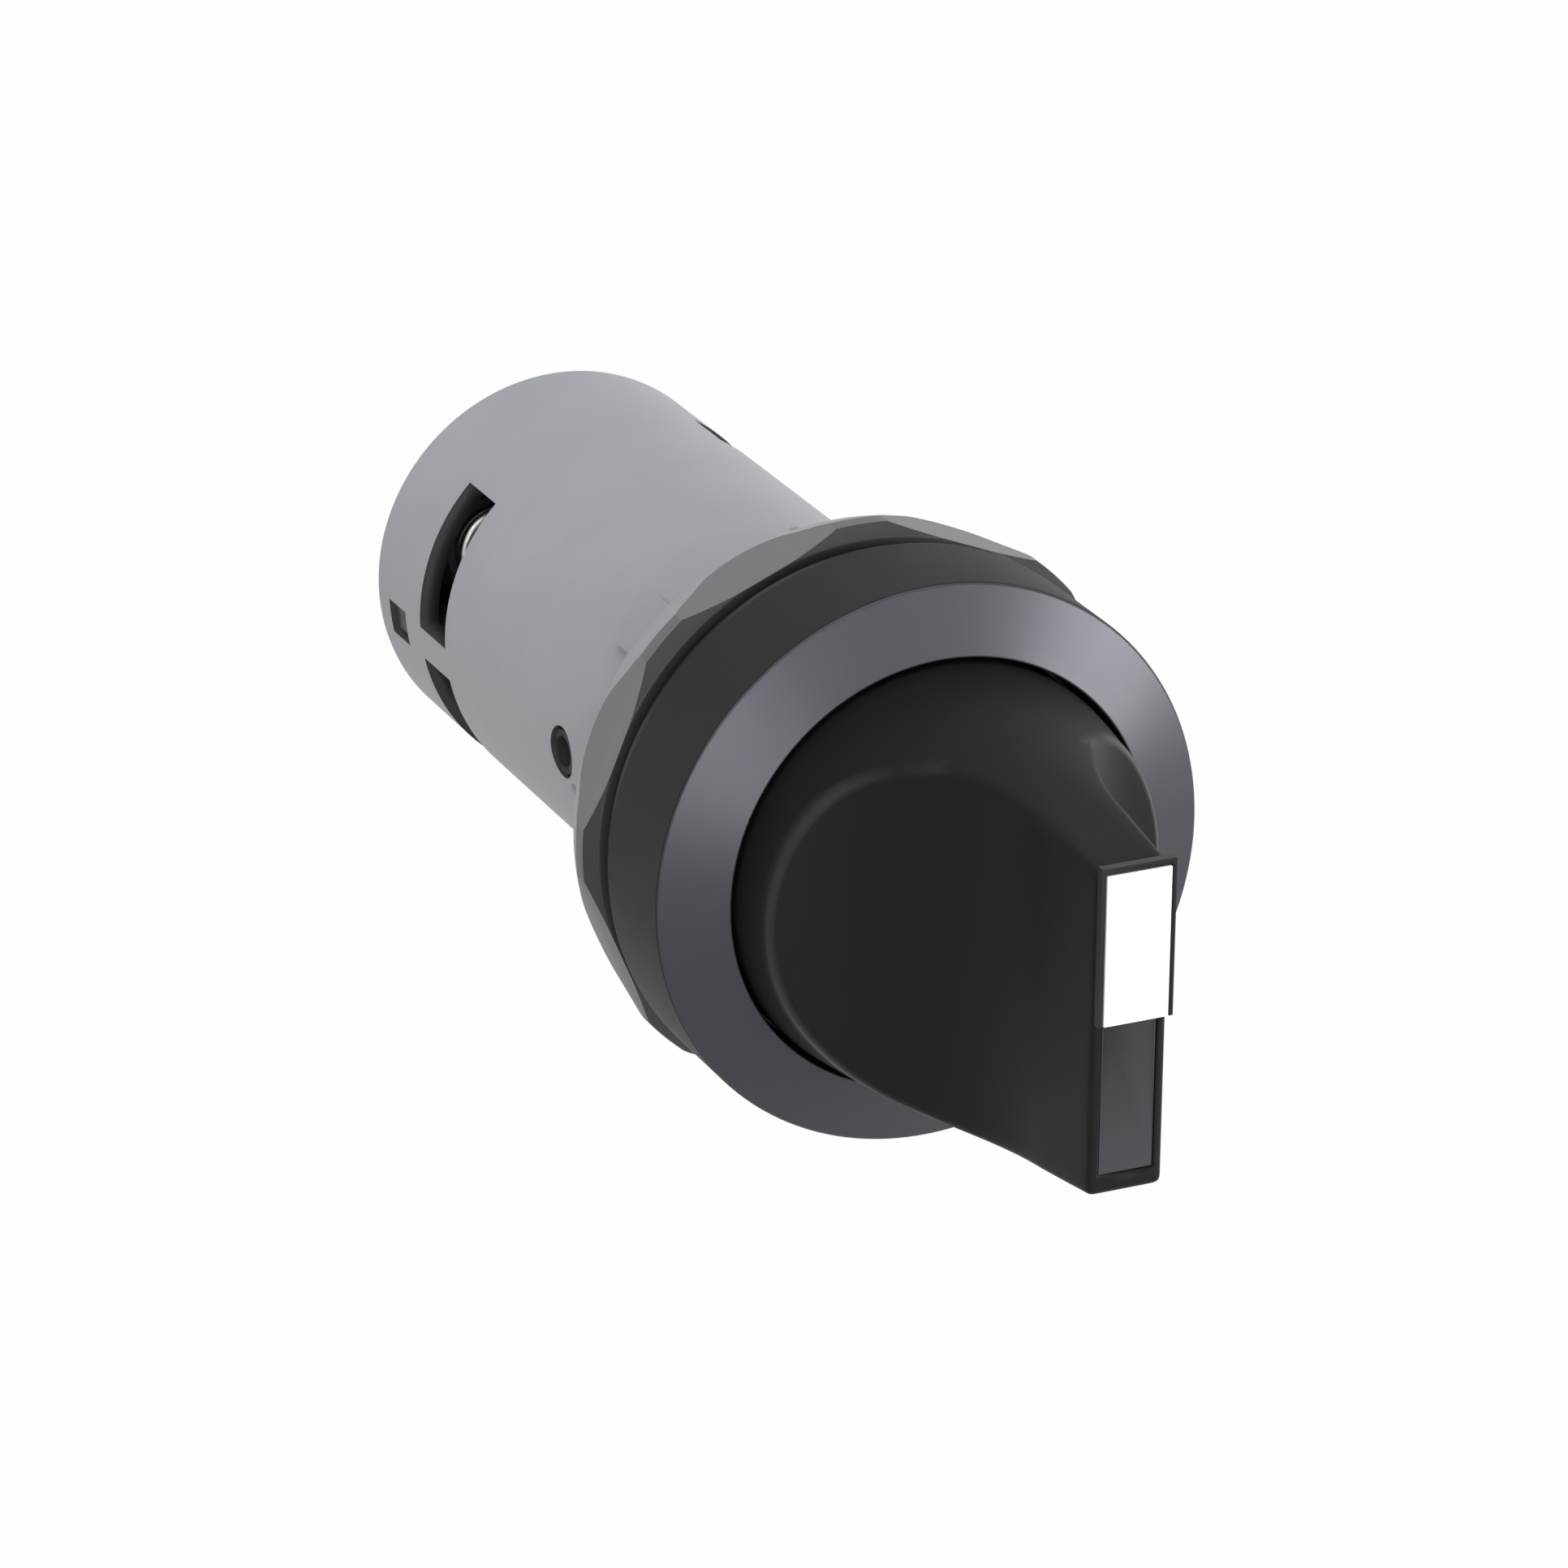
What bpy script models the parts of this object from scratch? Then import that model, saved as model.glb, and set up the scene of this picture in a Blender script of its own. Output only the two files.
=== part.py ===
"""Compact selector switch for a round panel hole, with its turning handle, cam and two contacts.

X runs right and Z up as seen from the front of the panel, and Y runs back along the switch's axis.
The origin is on that axis, where the bezel meets the panel. Sizes are in millimetres, turned into
metres where a mesh is made. Angles are in degrees about Y, from the top towards the right.
"""

import math

import bmesh
import bpy
from mathutils import Matrix, Vector

MM = 0.001

# Fits
SEAT_GAP = 0.2
RUN_GAP = 0.2
SNAP_GAP = 0.2

# Turn of the housing, and of all it holds, against the handle
WORKS_TURN = -7.5

# Bezel
BEZEL_RADIUS = 14.75
BEZEL_SIDE = 6.8
BEZEL_EDGE_ROUND = 0.25
BEZEL_REAR_TAPER = 0.35
BEZEL_REAR_LENGTH = 0.9
BEZEL_CONE_RISE = 1.3
BEZEL_FLOOR = 4.0
BEZEL_NECK_RECESS = 1.2
JOURNAL_RADIUS = 5.9
JOURNAL_END = 9.0
CUP_WALL = 0.85
CUP_END = 16.6
SNAP_RADIUS = 1.2
SNAP_Y = 14.9
SNAP_ANGLE = -85.0
SNAP_STAND = 1.15

# Handle
HANDLE_BASE_RADIUS = 11.0
HANDLE_FRONT_RADIUS = 8.5
HANDLE_FRONT = 28.4
HANDLE_FRONT_ROUND = 0.3
BLADE_HALF_WIDTH = 1.95
BLADE_ROOT_HALF_WIDTH = 2.25
BLADE_CHAMFER = 0.15
BLADE_FLAT_END = 18.0
SCOOP_HALF_SPAN = 10.95
SCOOP_DEPTH = 12.95
SCOOP_START = 23.5
DRIVE_HALF = 2.9
DRIVE_DEPTH = 8.5

# Marker in the handle's front edge
TAIL_HALF_WIDTH = 1.4
TAIL_LOW = 7.25
TAIL_HIGH = 7.5
GROOVE_DEPTH = 1.3
TAIL_SUNK = 0.1
MARKER_HALF_WIDTH = 1.95
MARKER_LOW = 0.7
MARKER_HIGH = 8.75
MARKER_STAND = 0.55
INLAY_SIDE_BORDER = 0.2
INLAY_TOP_BORDER = 0.32
INLAY_GAP = 0.06
INLAY_DEPTH = 0.3
INLAY_STAND = 0.06

# Seals
SEAL_RADIUS = 7.95
SEAL_WIRE = 0.5
GASKET_WIDTH = 1.95
GASKET_STAND = 0.4
GASKET_SUNK = 0.6

# Housing
HOUSING_RADIUS = 10.55
HOUSING_WALL = 1.1
HOUSING_LENGTH = 40.65
HOUSING_REAR_WALL = 1.5
HOUSING_REAR_ROUND = 0.6
SLOT_FRONT = 30.65
SLOT_HEIGHT = 3.55
SLOT_NEAR_ANGLE = 5.0
SLOT_FAR_ANGLE = 51.5
WINDOW_FRONT = 36.3
WINDOW_HEIGHT = 2.3
WINDOW_HALF_ANGLE = 5.3
SCREW_HOLE_RADIUS = 2.2
DIMPLE_SPREAD = 56.5
DIMPLE_Y = 13.6
DIMPLE_RADIUS = 0.45

# Fixing nut
NUT_RADIUS = 15.2
NUT_FLATS = 8
NUT_FLAT_DISTANCE = 14.5
NUT_FLAT_ANGLE = -68.0
NUT_FRONT = 0.65
NUT_CHAMFER = 0.62
NUT_BAND = 0.9
NUT_CONE_START = 3.9
NUT_CONE_RADIUS = 14.6
NUT_REAR = 9.6
NUT_RIM = 0.6
TONGUE_ANGLE = -45.5
TONGUE_HALF_ANGLE = 8.3
TONGUE_END = 11.9
TONGUE_THICKNESS = 0.33

# Cam and index disc
INDEX_RADIUS = 6.9
INDEX_THICKNESS = 2.0
INDEX_STEP = 45.0
NOTCH_RADIUS = 0.9
NOTCH_SINK = 0.65
CAM_INNER_RADIUS = 1.75
CAM_OUTER_RADIUS = 3.85
CAM_BASE = 0.5
CAM_RAMP_HALF_ANGLE = 66.0
THROW_ANGLE = 45.0
PLUNGER_THROW = 1.5

# Index spring
STRIP_RADIUS = 7.75
STRIP_THICKNESS = 0.3
STRIP_WIDTH = 1.5
STRIP_OPEN_HALF_ANGLE = 18.0
NOSE_SPREAD = 9.0
NOSE_GAP = 0.25
STRIP_STOP_HALF_ANGLE = 5.0

# Handle screw
SCREW_SHANK_RADIUS = 0.8
SCREW_HEAD_RADIUS = 1.45
SCREW_HEAD_HEIGHT = 0.9
SCREW_GRIP = 4.5

# Contact block
BLOCK_FRONT = 19.5
BLOCK_FRONT_WALL = 1.5
BLOCK_MIDDLE = 28.65
BLOCK_MIDDLE_WALL = 1.35
BLOCK_HALF_RIB = 0.6
BOSS_RADIUS = 1.85
BOSS_END = 35.4
BOSS_FLOOR = 0.8
CATCH_STAND = 0.8
CATCH_GAP = 0.2

# Plungers
PLUNGER_X = 2.6
PLUNGER_RADIUS = 1.05
TIP_RADIUS = 0.85
TIP_GAP = 0.3
TIP_NECK = 1.0
TIP_SHOULDER = 1.5
COLLAR_FRONT = 22.8
COLLAR_RADIUS = 1.9
COLLAR_THICKNESS = 0.7
STEM_RADIUS = 0.75
BRIDGE_FRONT = 25.2
BRIDGE_THICKNESS = 0.5
HEAD_RADIUS = 1.25
HEAD_THICKNESS = 0.75
PIN_RADIUS = 0.6
PIN_LENGTH = 2.2

# Contacts
BRIDGE_HALF_LENGTH = 4.1
BRIDGE_HALF_WIDTH = 1.2
DOME_Z = 3.3
DOME_RADIUS = 0.8
DOME_HEIGHT = 0.4
FIXED_DOME_HEIGHT = 0.25
FIXED_THICKNESS = 0.45
FIXED_INNER_X = 1.6
FIXED_OUTER_X = 6.9
FIXED_HALF_WIDTH = 1.4
FOOT_INNER_X = 3.9
FOOT_THICKNESS = 0.6

# Terminals
TERMINAL_X = 5.3
TERMINAL_Z = 3.9
CLAMP_HALF = 1.7
CLAMP_THICKNESS = 0.8
CLAMP_FRONT = 34.3
TERMINAL_SHANK_RADIUS = 1.0
TERMINAL_HEAD_RADIUS = 2.0
TERMINAL_HEAD_HEIGHT = 1.7
DRIVER_SLOT_HALF = 0.25
DRIVER_SLOT_DEPTH = 0.7

# Coil springs
RETURN_WIRE = 0.15
RETURN_COIL_RADIUS = 1.0
RETURN_TURNS = 7
CONTACT_WIRE = 0.14
CONTACT_COIL_RADIUS = 1.25
CONTACT_TURNS = 2

# How far a cutting shape runs past what it cuts
OVERRUN = 1.0

# Facets
ROUND_STEPS = 56
SMALL_STEPS = 16
COIL_STEPS = 10
COIL_SIDES = 4

# Places that follow from the sizes above
BORE_RADIUS = HANDLE_BASE_RADIUS + RUN_GAP + 0.05
CONE_TOP = BEZEL_SIDE + BEZEL_CONE_RISE
HOUSING_BORE = HOUSING_RADIUS - HOUSING_WALL
SLEEVE_RADIUS = HOUSING_BORE - SEAT_GAP
CUP_BORE = SLEEVE_RADIUS - CUP_WALL
JOURNAL_BORE = JOURNAL_RADIUS + RUN_GAP
NUT_BORE = HOUSING_RADIUS + RUN_GAP
NECK_BORE = HOUSING_RADIUS + SEAT_GAP
HANDLE_REAR = BEZEL_FLOOR + RUN_GAP
INDEX_FRONT = JOURNAL_END + RUN_GAP
INDEX_REAR = INDEX_FRONT + INDEX_THICKNESS
LEAD = PLUNGER_THROW / THROW_ANGLE
CAM_MIDDLE = INDEX_REAR + CAM_BASE + LEAD * CAM_RAMP_HALF_ANGLE
CAM_SLOPE = math.atan(math.degrees(LEAD) / PLUNGER_X)
TIP_CENTRE = CAM_MIDDLE + (TIP_RADIUS + TIP_GAP) / math.cos(CAM_SLOPE)
BRIDGE_REAR = BRIDGE_FRONT + BRIDGE_THICKNESS
HEAD_FRONT = BRIDGE_REAR + SEAT_GAP / 2
HEAD_REAR = HEAD_FRONT + HEAD_THICKNESS
BLOCK_MIDDLE_REAR = BLOCK_MIDDLE + BLOCK_MIDDLE_WALL
BLOCK_REAR = HOUSING_LENGTH - HOUSING_REAR_WALL - SEAT_GAP
SPRING_BORE = HEAD_RADIUS + RUN_GAP
FIXED_REAR = BLOCK_MIDDLE - SEAT_GAP / 2
FOOT_FRONT = BLOCK_MIDDLE_REAR + SEAT_GAP / 2
CLAMP_REAR = CLAMP_FRONT + CLAMP_THICKNESS
TERMINAL_HEAD_FRONT = CLAMP_REAR + SEAT_GAP / 2
SCREW_HEAD_FRONT = INDEX_REAR + SEAT_GAP / 2


def material(name, colour, roughness, metallic=0.0):
    """A plain Principled material of one colour."""
    made = bpy.data.materials.new(name)
    made.use_nodes = True
    shader = made.node_tree.nodes["Principled BSDF"]
    shader.inputs["Base Color"].default_value = (*colour, 1.0)
    shader.inputs["Roughness"].default_value = roughness
    shader.inputs["Metallic"].default_value = metallic
    made.diffuse_color = (*colour, 1.0)
    return made


def made_object(name, shape, finish=None, parent=None):
    """An object in metres from a bmesh in millimetres."""
    bmesh.ops.scale(shape, vec=(MM, MM, MM), verts=shape.verts)
    bmesh.ops.recalc_face_normals(shape, faces=shape.faces)
    mesh = bpy.data.meshes.new(name)
    shape.to_mesh(mesh)
    shape.free()
    mesh.shade_smooth()
    mesh.set_sharp_from_angle(angle=math.radians(32))
    made = bpy.data.objects.new(name, mesh)
    bpy.context.scene.collection.objects.link(made)
    if finish is not None:
        mesh.materials.append(finish)
    made.parent = parent
    return made


def joined(*shapes):
    """One bmesh that holds several separate shapes."""
    whole = bmesh.new()
    for shape in shapes:
        mesh = bpy.data.meshes.new("step")
        shape.to_mesh(mesh)
        whole.from_mesh(mesh)
        bpy.data.meshes.remove(mesh)
        shape.free()
    return whole


def combine(made, name, shape, operation):
    """A Boolean of an object with a hidden helper shape that shares its parent."""
    helper = made_object(name, shape, parent=made.parent)
    helper.hide_render = True
    helper.display_type = "WIRE"
    step = made.modifiers.new(name, "BOOLEAN")
    step.operation = operation
    step.solver = "EXACT"
    step.object = helper


def cut(made, name, shape):
    combine(made, name, shape, "DIFFERENCE")


def add(made, name, shape):
    combine(made, name, shape, "UNION")


def at_angle(radius, angle, y=0.0):
    """The point at a radius and an angle about the switch's axis."""
    turn = math.radians(angle)
    return Vector((radius * math.sin(turn), y, radius * math.cos(turn)))


def turned(profile, steps=ROUND_STEPS, x=0.0, z=0.0):
    """A closed profile of (radius, y) points turned about an axis along Y through x and z."""
    shape = bmesh.new()
    rings = []
    for radius, y in profile:
        if radius == 0.0:
            rings.append([shape.verts.new((x, y, z))] * steps)
            continue
        points = (at_angle(radius, 360.0 * step / steps, y) for step in range(steps))
        rings.append([shape.verts.new(point + Vector((x, 0.0, z))) for point in points])
    for ring, following in zip(rings, rings[1:] + rings[:1]):
        for step in range(steps):
            ahead = (step + 1) % steps
            corners = [ring[step], ring[ahead], following[ahead], following[step]]
            corners = list(dict.fromkeys(corners))
            if len(corners) > 2:
                shape.faces.new(corners)
    return shape


def rod(radius, y_front, y_rear, x=0.0, z=0.0, steps=SMALL_STEPS):
    """A plain round bar along Y."""
    return turned([(0.0, y_front), (radius, y_front), (radius, y_rear), (0.0, y_rear)], steps, x, z)


def radial_rod(radius, inner, outer, angle, y, steps=SMALL_STEPS):
    """A plain round bar that points away from the switch's axis."""
    shape = bmesh.new()
    bmesh.ops.create_cone(
        shape, cap_ends=True, segments=steps, radius1=radius, radius2=radius, depth=outer - inner
    )
    bmesh.ops.translate(shape, vec=(0.0, y, (inner + outer) / 2), verts=shape.verts)
    turn = Matrix.Rotation(math.radians(angle), 3, "Y")
    bmesh.ops.rotate(shape, cent=(0.0, 0.0, 0.0), matrix=turn, verts=shape.verts)
    return shape


def block(x, y, z):
    """A box between pairs of limits along each axis."""
    shape = bmesh.new()
    bmesh.ops.create_cube(shape, size=1.0)
    size = [high - low for low, high in (x, y, z)]
    middle = [(high + low) / 2 for low, high in (x, y, z)]
    bmesh.ops.scale(shape, vec=size, verts=shape.verts)
    bmesh.ops.translate(shape, vec=middle, verts=shape.verts)
    return shape


def prism(outline, low, high, axis="Z"):
    """A flat outline pushed along one axis: (x, y) points along Z, or (x, z) points along Y."""
    shape = bmesh.new()
    if axis == "Z":
        points = [Vector((across, along, low)) for across, along in outline]
        push = Vector((0.0, 0.0, high - low))
    else:
        points = [Vector((across, low, up)) for across, up in outline]
        push = Vector((0.0, high - low, 0.0))
    face = shape.faces.new([shape.verts.new(point) for point in points])
    pushed = bmesh.ops.extrude_face_region(shape, geom=[face])["geom"]
    moved = [item for item in pushed if isinstance(item, bmesh.types.BMVert)]
    bmesh.ops.translate(shape, vec=push, verts=moved)
    return shape


def sector(inner, outer, y, angles, steps=8):
    """A piece of a thick tube between two angles."""
    low, high = angles
    turns = [low + (high - low) * step / steps for step in range(steps + 1)]
    points = [at_angle(outer, turn) for turn in turns]
    points += [at_angle(inner, turn) for turn in reversed(turns)]
    return prism([(point.x, point.z) for point in points], *y, axis="Y")


def tube_along(centres, sides):
    """A closed bar that follows points, each given with the two directions across it and a radius."""
    shape = bmesh.new()
    rings = []
    for centre, across, up, radius in centres:
        ring = []
        for side in range(sides):
            turn = 2 * math.pi * side / sides
            ring.append(shape.verts.new(centre + radius * (math.cos(turn) * across + math.sin(turn) * up)))
        rings.append(ring)
    for ring, following in zip(rings, rings[1:]):
        for side in range(sides):
            ahead = (side + 1) % sides
            shape.faces.new([ring[side], ring[ahead], following[ahead], following[side]])
    shape.faces.new(rings[0])
    shape.faces.new(rings[-1])
    return shape


def coil(coil_radius, wire, turns, y_front, y_rear, x):
    """A compression spring along Y, with its first and last turn laid flat."""
    low, high = y_front + wire, y_rear - wire
    steps = turns * COIL_STEPS
    centres = []
    for step in range(steps + 1):
        turn = 2 * math.pi * step / COIL_STEPS
        run = (step / COIL_STEPS - 0.75) / (turns - 1.5)
        rise = 2.2 * wire * (min(step, steps - step) / COIL_STEPS)
        lowest, highest = low + min(rise, 2.2 * wire), high - min(rise, 2.2 * wire)
        y = min(max(low + (high - low) * run, low), high)
        if step < COIL_STEPS:
            y = max(y, lowest)
        if step > steps - COIL_STEPS:
            y = min(y, highest)
        out = Vector((math.sin(turn), 0.0, math.cos(turn)))
        centre = Vector((x, y, 0.0)) + coil_radius * out
        centres.append((centre, out, Vector((0.0, 1.0, 0.0)), wire))
    return tube_along(centres, COIL_SIDES)


def build_bezel(works, finish):
    """Front ring, journal bearing and rear cup in one moulding, with two snap bosses."""
    rim = BEZEL_RADIUS - BEZEL_EDGE_ROUND
    groove_half = SEAL_WIRE + SEAT_GAP / 2
    gasket_outer = NECK_BORE + GASKET_WIDTH + 2 * SEAT_GAP
    profile = [
        (BEZEL_RADIUS - BEZEL_REAR_TAPER, 0.0),
        (BEZEL_RADIUS, -BEZEL_REAR_LENGTH),
        (BEZEL_RADIUS, -(BEZEL_SIDE - BEZEL_EDGE_ROUND)),
        (BEZEL_RADIUS - 0.3 * BEZEL_EDGE_ROUND, -(BEZEL_SIDE - 0.3 * BEZEL_EDGE_ROUND)),
        (rim, -BEZEL_SIDE),
        (BORE_RADIUS + 0.1, -CONE_TOP),
        (BORE_RADIUS, -(CONE_TOP - 0.1)),
        (BORE_RADIUS, -BEZEL_FLOOR),
        (SEAL_RADIUS + groove_half, -BEZEL_FLOOR),
        (SEAL_RADIUS + groove_half, -(BEZEL_FLOOR - 2 * SEAL_WIRE)),
        (SEAL_RADIUS - groove_half, -(BEZEL_FLOOR - 2 * SEAL_WIRE)),
        (SEAL_RADIUS - groove_half, -BEZEL_FLOOR),
        (JOURNAL_BORE, -BEZEL_FLOOR),
        (JOURNAL_BORE, JOURNAL_END),
        (CUP_BORE, JOURNAL_END),
        (CUP_BORE, CUP_END),
        (SLEEVE_RADIUS, CUP_END),
        (SLEEVE_RADIUS, -BEZEL_NECK_RECESS),
        (NECK_BORE, -BEZEL_NECK_RECESS),
        (NECK_BORE, -GASKET_SUNK),
        (gasket_outer, -GASKET_SUNK),
        (gasket_outer, 0.0),
    ]
    bezel = made_object("bezel", turned(profile), finish, works)
    reach = (SLEEVE_RADIUS - CUP_WALL / 2, SLEEVE_RADIUS + SNAP_STAND)
    bosses = [radial_rod(SNAP_RADIUS, *reach, SNAP_ANGLE + half, SNAP_Y) for half in (0.0, 180.0)]
    add(bezel, "bezel_snap_bosses", joined(*bosses))
    stop_reach = (STRIP_RADIUS - STRIP_THICKNESS, CUP_BORE + CUP_WALL / 2)
    stop_angles = (180.0 - STRIP_STOP_HALF_ANGLE, 180.0 + STRIP_STOP_HALF_ANGLE)
    stop_y = (JOURNAL_END - 0.5, INDEX_REAR)
    add(bezel, "bezel_spring_stop", sector(*stop_reach, stop_y, stop_angles, 2))


def scoop_outline():
    """Half of the handle's plan as a cut: the chamfered blade edge, its side and the hollow beside it."""
    centre_x = BLADE_ROOT_HALF_WIDTH + SCOOP_HALF_SPAN
    beyond = HANDLE_FRONT + OVERRUN
    chamfer_end = HANDLE_FRONT - BLADE_CHAMFER
    points = [
        (BLADE_HALF_WIDTH - BLADE_CHAMFER - OVERRUN, -beyond),
        (BLADE_HALF_WIDTH - BLADE_CHAMFER, -HANDLE_FRONT),
        (BLADE_HALF_WIDTH, -chamfer_end),
    ]
    arc_steps = 14
    for step in range(arc_steps + 1):
        turn = math.pi / 2 * step / arc_steps
        across = centre_x - SCOOP_HALF_SPAN * math.cos(turn)
        points.append((across, SCOOP_DEPTH * math.sin(turn) - SCOOP_START))
    points.append((centre_x, -beyond))
    return points


def end_flat(way):
    """What is cut from the blade's upper or lower end, to make its front edge straight."""
    slope = (HANDLE_BASE_RADIUS - HANDLE_FRONT_RADIUS) / (HANDLE_FRONT - CONE_TOP)
    low = math.sqrt(HANDLE_FRONT_RADIUS**2 - BLADE_HALF_WIDTH**2)
    length = HANDLE_FRONT - BLADE_FLAT_END
    rise = (HANDLE_FRONT_RADIUS + slope * length - low) / length
    front, rear = -(HANDLE_FRONT + OVERRUN), -(BLADE_FLAT_END - OVERRUN)
    low_rear = low + rise * (length + OVERRUN)
    high = HANDLE_BASE_RADIUS + OVERRUN
    outline = [(low - rise * OVERRUN, front), (low_rear, rear), (high, rear), (high, front)]
    shape = prism(outline, -HANDLE_FRONT_RADIUS, HANDLE_FRONT_RADIUS)
    turn = Matrix.Rotation(math.radians(-90.0 * way), 3, "Y")
    bmesh.ops.rotate(shape, cent=(0.0, 0.0, 0.0), matrix=turn, verts=shape.verts)
    return shape


def build_handle(turner, finish):
    """A tapered round knob with a hollow cut along each side, so that a blade stands between them."""
    profile = [
        (0.0, -HANDLE_FRONT),
        (HANDLE_FRONT_RADIUS - HANDLE_FRONT_ROUND, -HANDLE_FRONT),
        (HANDLE_FRONT_RADIUS, -(HANDLE_FRONT - HANDLE_FRONT_ROUND)),
        (HANDLE_BASE_RADIUS, -CONE_TOP),
        (HANDLE_BASE_RADIUS, -HANDLE_REAR),
        (0.0, -HANDLE_REAR),
    ]
    handle = made_object("handle", turned(profile), finish, turner)
    outline = scoop_outline()
    mirrored = [(-across, along) for across, along in outline]
    reach = HANDLE_BASE_RADIUS + OVERRUN
    scoops = joined(prism(outline, -reach, reach), prism(mirrored, -reach, reach))
    cut(handle, "handle_scoops", scoops)
    cut(handle, "handle_end_flats", joined(end_flat(1), end_flat(-1)))
    half = DRIVE_HALF + SEAT_GAP / 2
    socket_end = HANDLE_REAR + DRIVE_DEPTH + SEAT_GAP
    socket = block((-half, half), (-socket_end, -HANDLE_REAR + OVERRUN), (-half, half))
    cut(handle, "handle_socket", socket)
    pilot_end = socket_end + SCREW_GRIP + SEAT_GAP
    cut(handle, "handle_pilot", rod(SCREW_SHANK_RADIUS + SEAT_GAP / 2, -pilot_end, -socket_end + OVERRUN))
    groove_half = TAIL_HALF_WIDTH + SEAT_GAP / 2
    groove = block(
        (-groove_half, groove_half),
        (-HANDLE_FRONT - OVERRUN, -(HANDLE_FRONT - GROOVE_DEPTH)),
        (-TAIL_LOW - SEAT_GAP / 2, TAIL_HIGH + SEAT_GAP / 2),
    )
    cut(handle, "handle_groove", groove)


def build_marker(turner, frame_finish, inlay_finish):
    """The pointer: a grey carrier in the handle's groove, with a light inlay in its raised head."""
    back = -(HANDLE_FRONT - GROOVE_DEPTH + SEAT_GAP / 2)
    tail = block(
        (-TAIL_HALF_WIDTH, TAIL_HALF_WIDTH),
        (-(HANDLE_FRONT - TAIL_SUNK), back),
        (-TAIL_LOW, TAIL_HIGH),
    )
    carrier = made_object("marker_frame", tail, frame_finish, turner)
    face = HANDLE_FRONT + MARKER_STAND
    rest = HANDLE_FRONT + SEAT_GAP / 2
    half = MARKER_HALF_WIDTH
    stem_half = TAIL_HALF_WIDTH - 0.1
    neck_top = TAIL_HIGH - 0.1
    neck = block((-stem_half, stem_half), (-rest - 0.1, back - 0.5), (MARKER_LOW + 0.1, neck_top))
    add(carrier, "marker_neck", neck)
    add(carrier, "marker_head", block((-half, half), (-face, -rest), (MARKER_LOW, MARKER_HIGH)))
    pocket_half = half - INLAY_SIDE_BORDER
    pocket_top = MARKER_HIGH - INLAY_TOP_BORDER
    pocket = block(
        (-pocket_half, pocket_half),
        (-face - OVERRUN, -(face - INLAY_DEPTH)),
        (MARKER_LOW - OVERRUN, pocket_top),
    )
    cut(carrier, "marker_pocket", pocket)
    inlay_half = pocket_half - INLAY_GAP
    inlay = block(
        (-inlay_half, inlay_half),
        (-(face + INLAY_STAND), -(face - INLAY_DEPTH + SEAT_GAP / 2)),
        (MARKER_LOW, pocket_top - INLAY_GAP),
    )
    made_object("marker_inlay", inlay, inlay_finish, turner)


def build_seals(works, finish):
    """The round seal under the handle, and the flat gasket behind the bezel."""
    sides = 8
    profile = []
    for side in range(sides):
        turn = 2 * math.pi * side / sides
        depth = BEZEL_FLOOR - SEAL_WIRE + 0.05
        profile.append((SEAL_RADIUS + SEAL_WIRE * math.cos(turn), SEAL_WIRE * math.sin(turn) - depth))
    made_object("handle_seal", turned(profile, 36), finish, works)
    inner = NECK_BORE + SEAT_GAP
    outer = inner + GASKET_WIDTH
    front = -GASKET_SUNK + SEAT_GAP / 2
    profile = [(inner, front), (outer, front), (outer, GASKET_STAND), (inner, GASKET_STAND)]
    made_object("panel_gasket", turned(profile), finish, works)


def build_housing(works, finish):
    """A round can with four wire slots, two catch windows, two snap holes and four screwdriver holes."""
    inner_rear = HOUSING_LENGTH - HOUSING_REAR_WALL
    edge = HOUSING_REAR_ROUND
    corner = [
        (
            HOUSING_RADIUS - edge + edge * math.cos(math.radians(turn)),
            HOUSING_LENGTH - edge + edge * math.sin(math.radians(turn)),
        )
        for turn in (0, 30, 60, 90)
    ]
    front = -(BEZEL_NECK_RECESS - SEAT_GAP)
    profile = [(HOUSING_RADIUS, front)] + corner
    profile += [(0.0, HOUSING_LENGTH), (0.0, inner_rear), (HOUSING_BORE, inner_rear), (HOUSING_BORE, front)]
    housing = made_object("housing", turned(profile), finish, works)
    reach = (HOUSING_BORE - OVERRUN, HOUSING_RADIUS + OVERRUN)
    slot_y = (SLOT_FRONT, SLOT_FRONT + SLOT_HEIGHT)
    window_y = (WINDOW_FRONT, WINDOW_FRONT + WINDOW_HEIGHT)
    cuts = []
    for side in (-90.0, 90.0):
        cuts.append(sector(*reach, slot_y, (side + SLOT_NEAR_ANGLE, side + SLOT_FAR_ANGLE)))
        cuts.append(sector(*reach, slot_y, (side - SLOT_FAR_ANGLE, side - SLOT_NEAR_ANGLE)))
        window_angles = (side - WINDOW_HALF_ANGLE, side + WINDOW_HALF_ANGLE)
        cuts.append(sector(*reach, window_y, window_angles, 2))
    for half in (0.0, 180.0):
        cuts.append(radial_rod(SNAP_RADIUS + SNAP_GAP, *reach, SNAP_ANGLE + half, SNAP_Y, 24))
    rear = (inner_rear - OVERRUN, HOUSING_LENGTH + OVERRUN)
    for x, z in terminal_places():
        cuts.append(rod(SCREW_HOLE_RADIUS, *rear, x, z, 24))
    middle = TONGUE_ANGLE - WORKS_TURN
    for side in (-DIMPLE_SPREAD, DIMPLE_SPREAD):
        outside = (HOUSING_RADIUS - DIMPLE_RADIUS / 2, HOUSING_RADIUS + OVERRUN)
        cuts.append(radial_rod(DIMPLE_RADIUS, *outside, middle + side, DIMPLE_Y, 8))
    cut(housing, "housing_openings", joined(*cuts))


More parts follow.
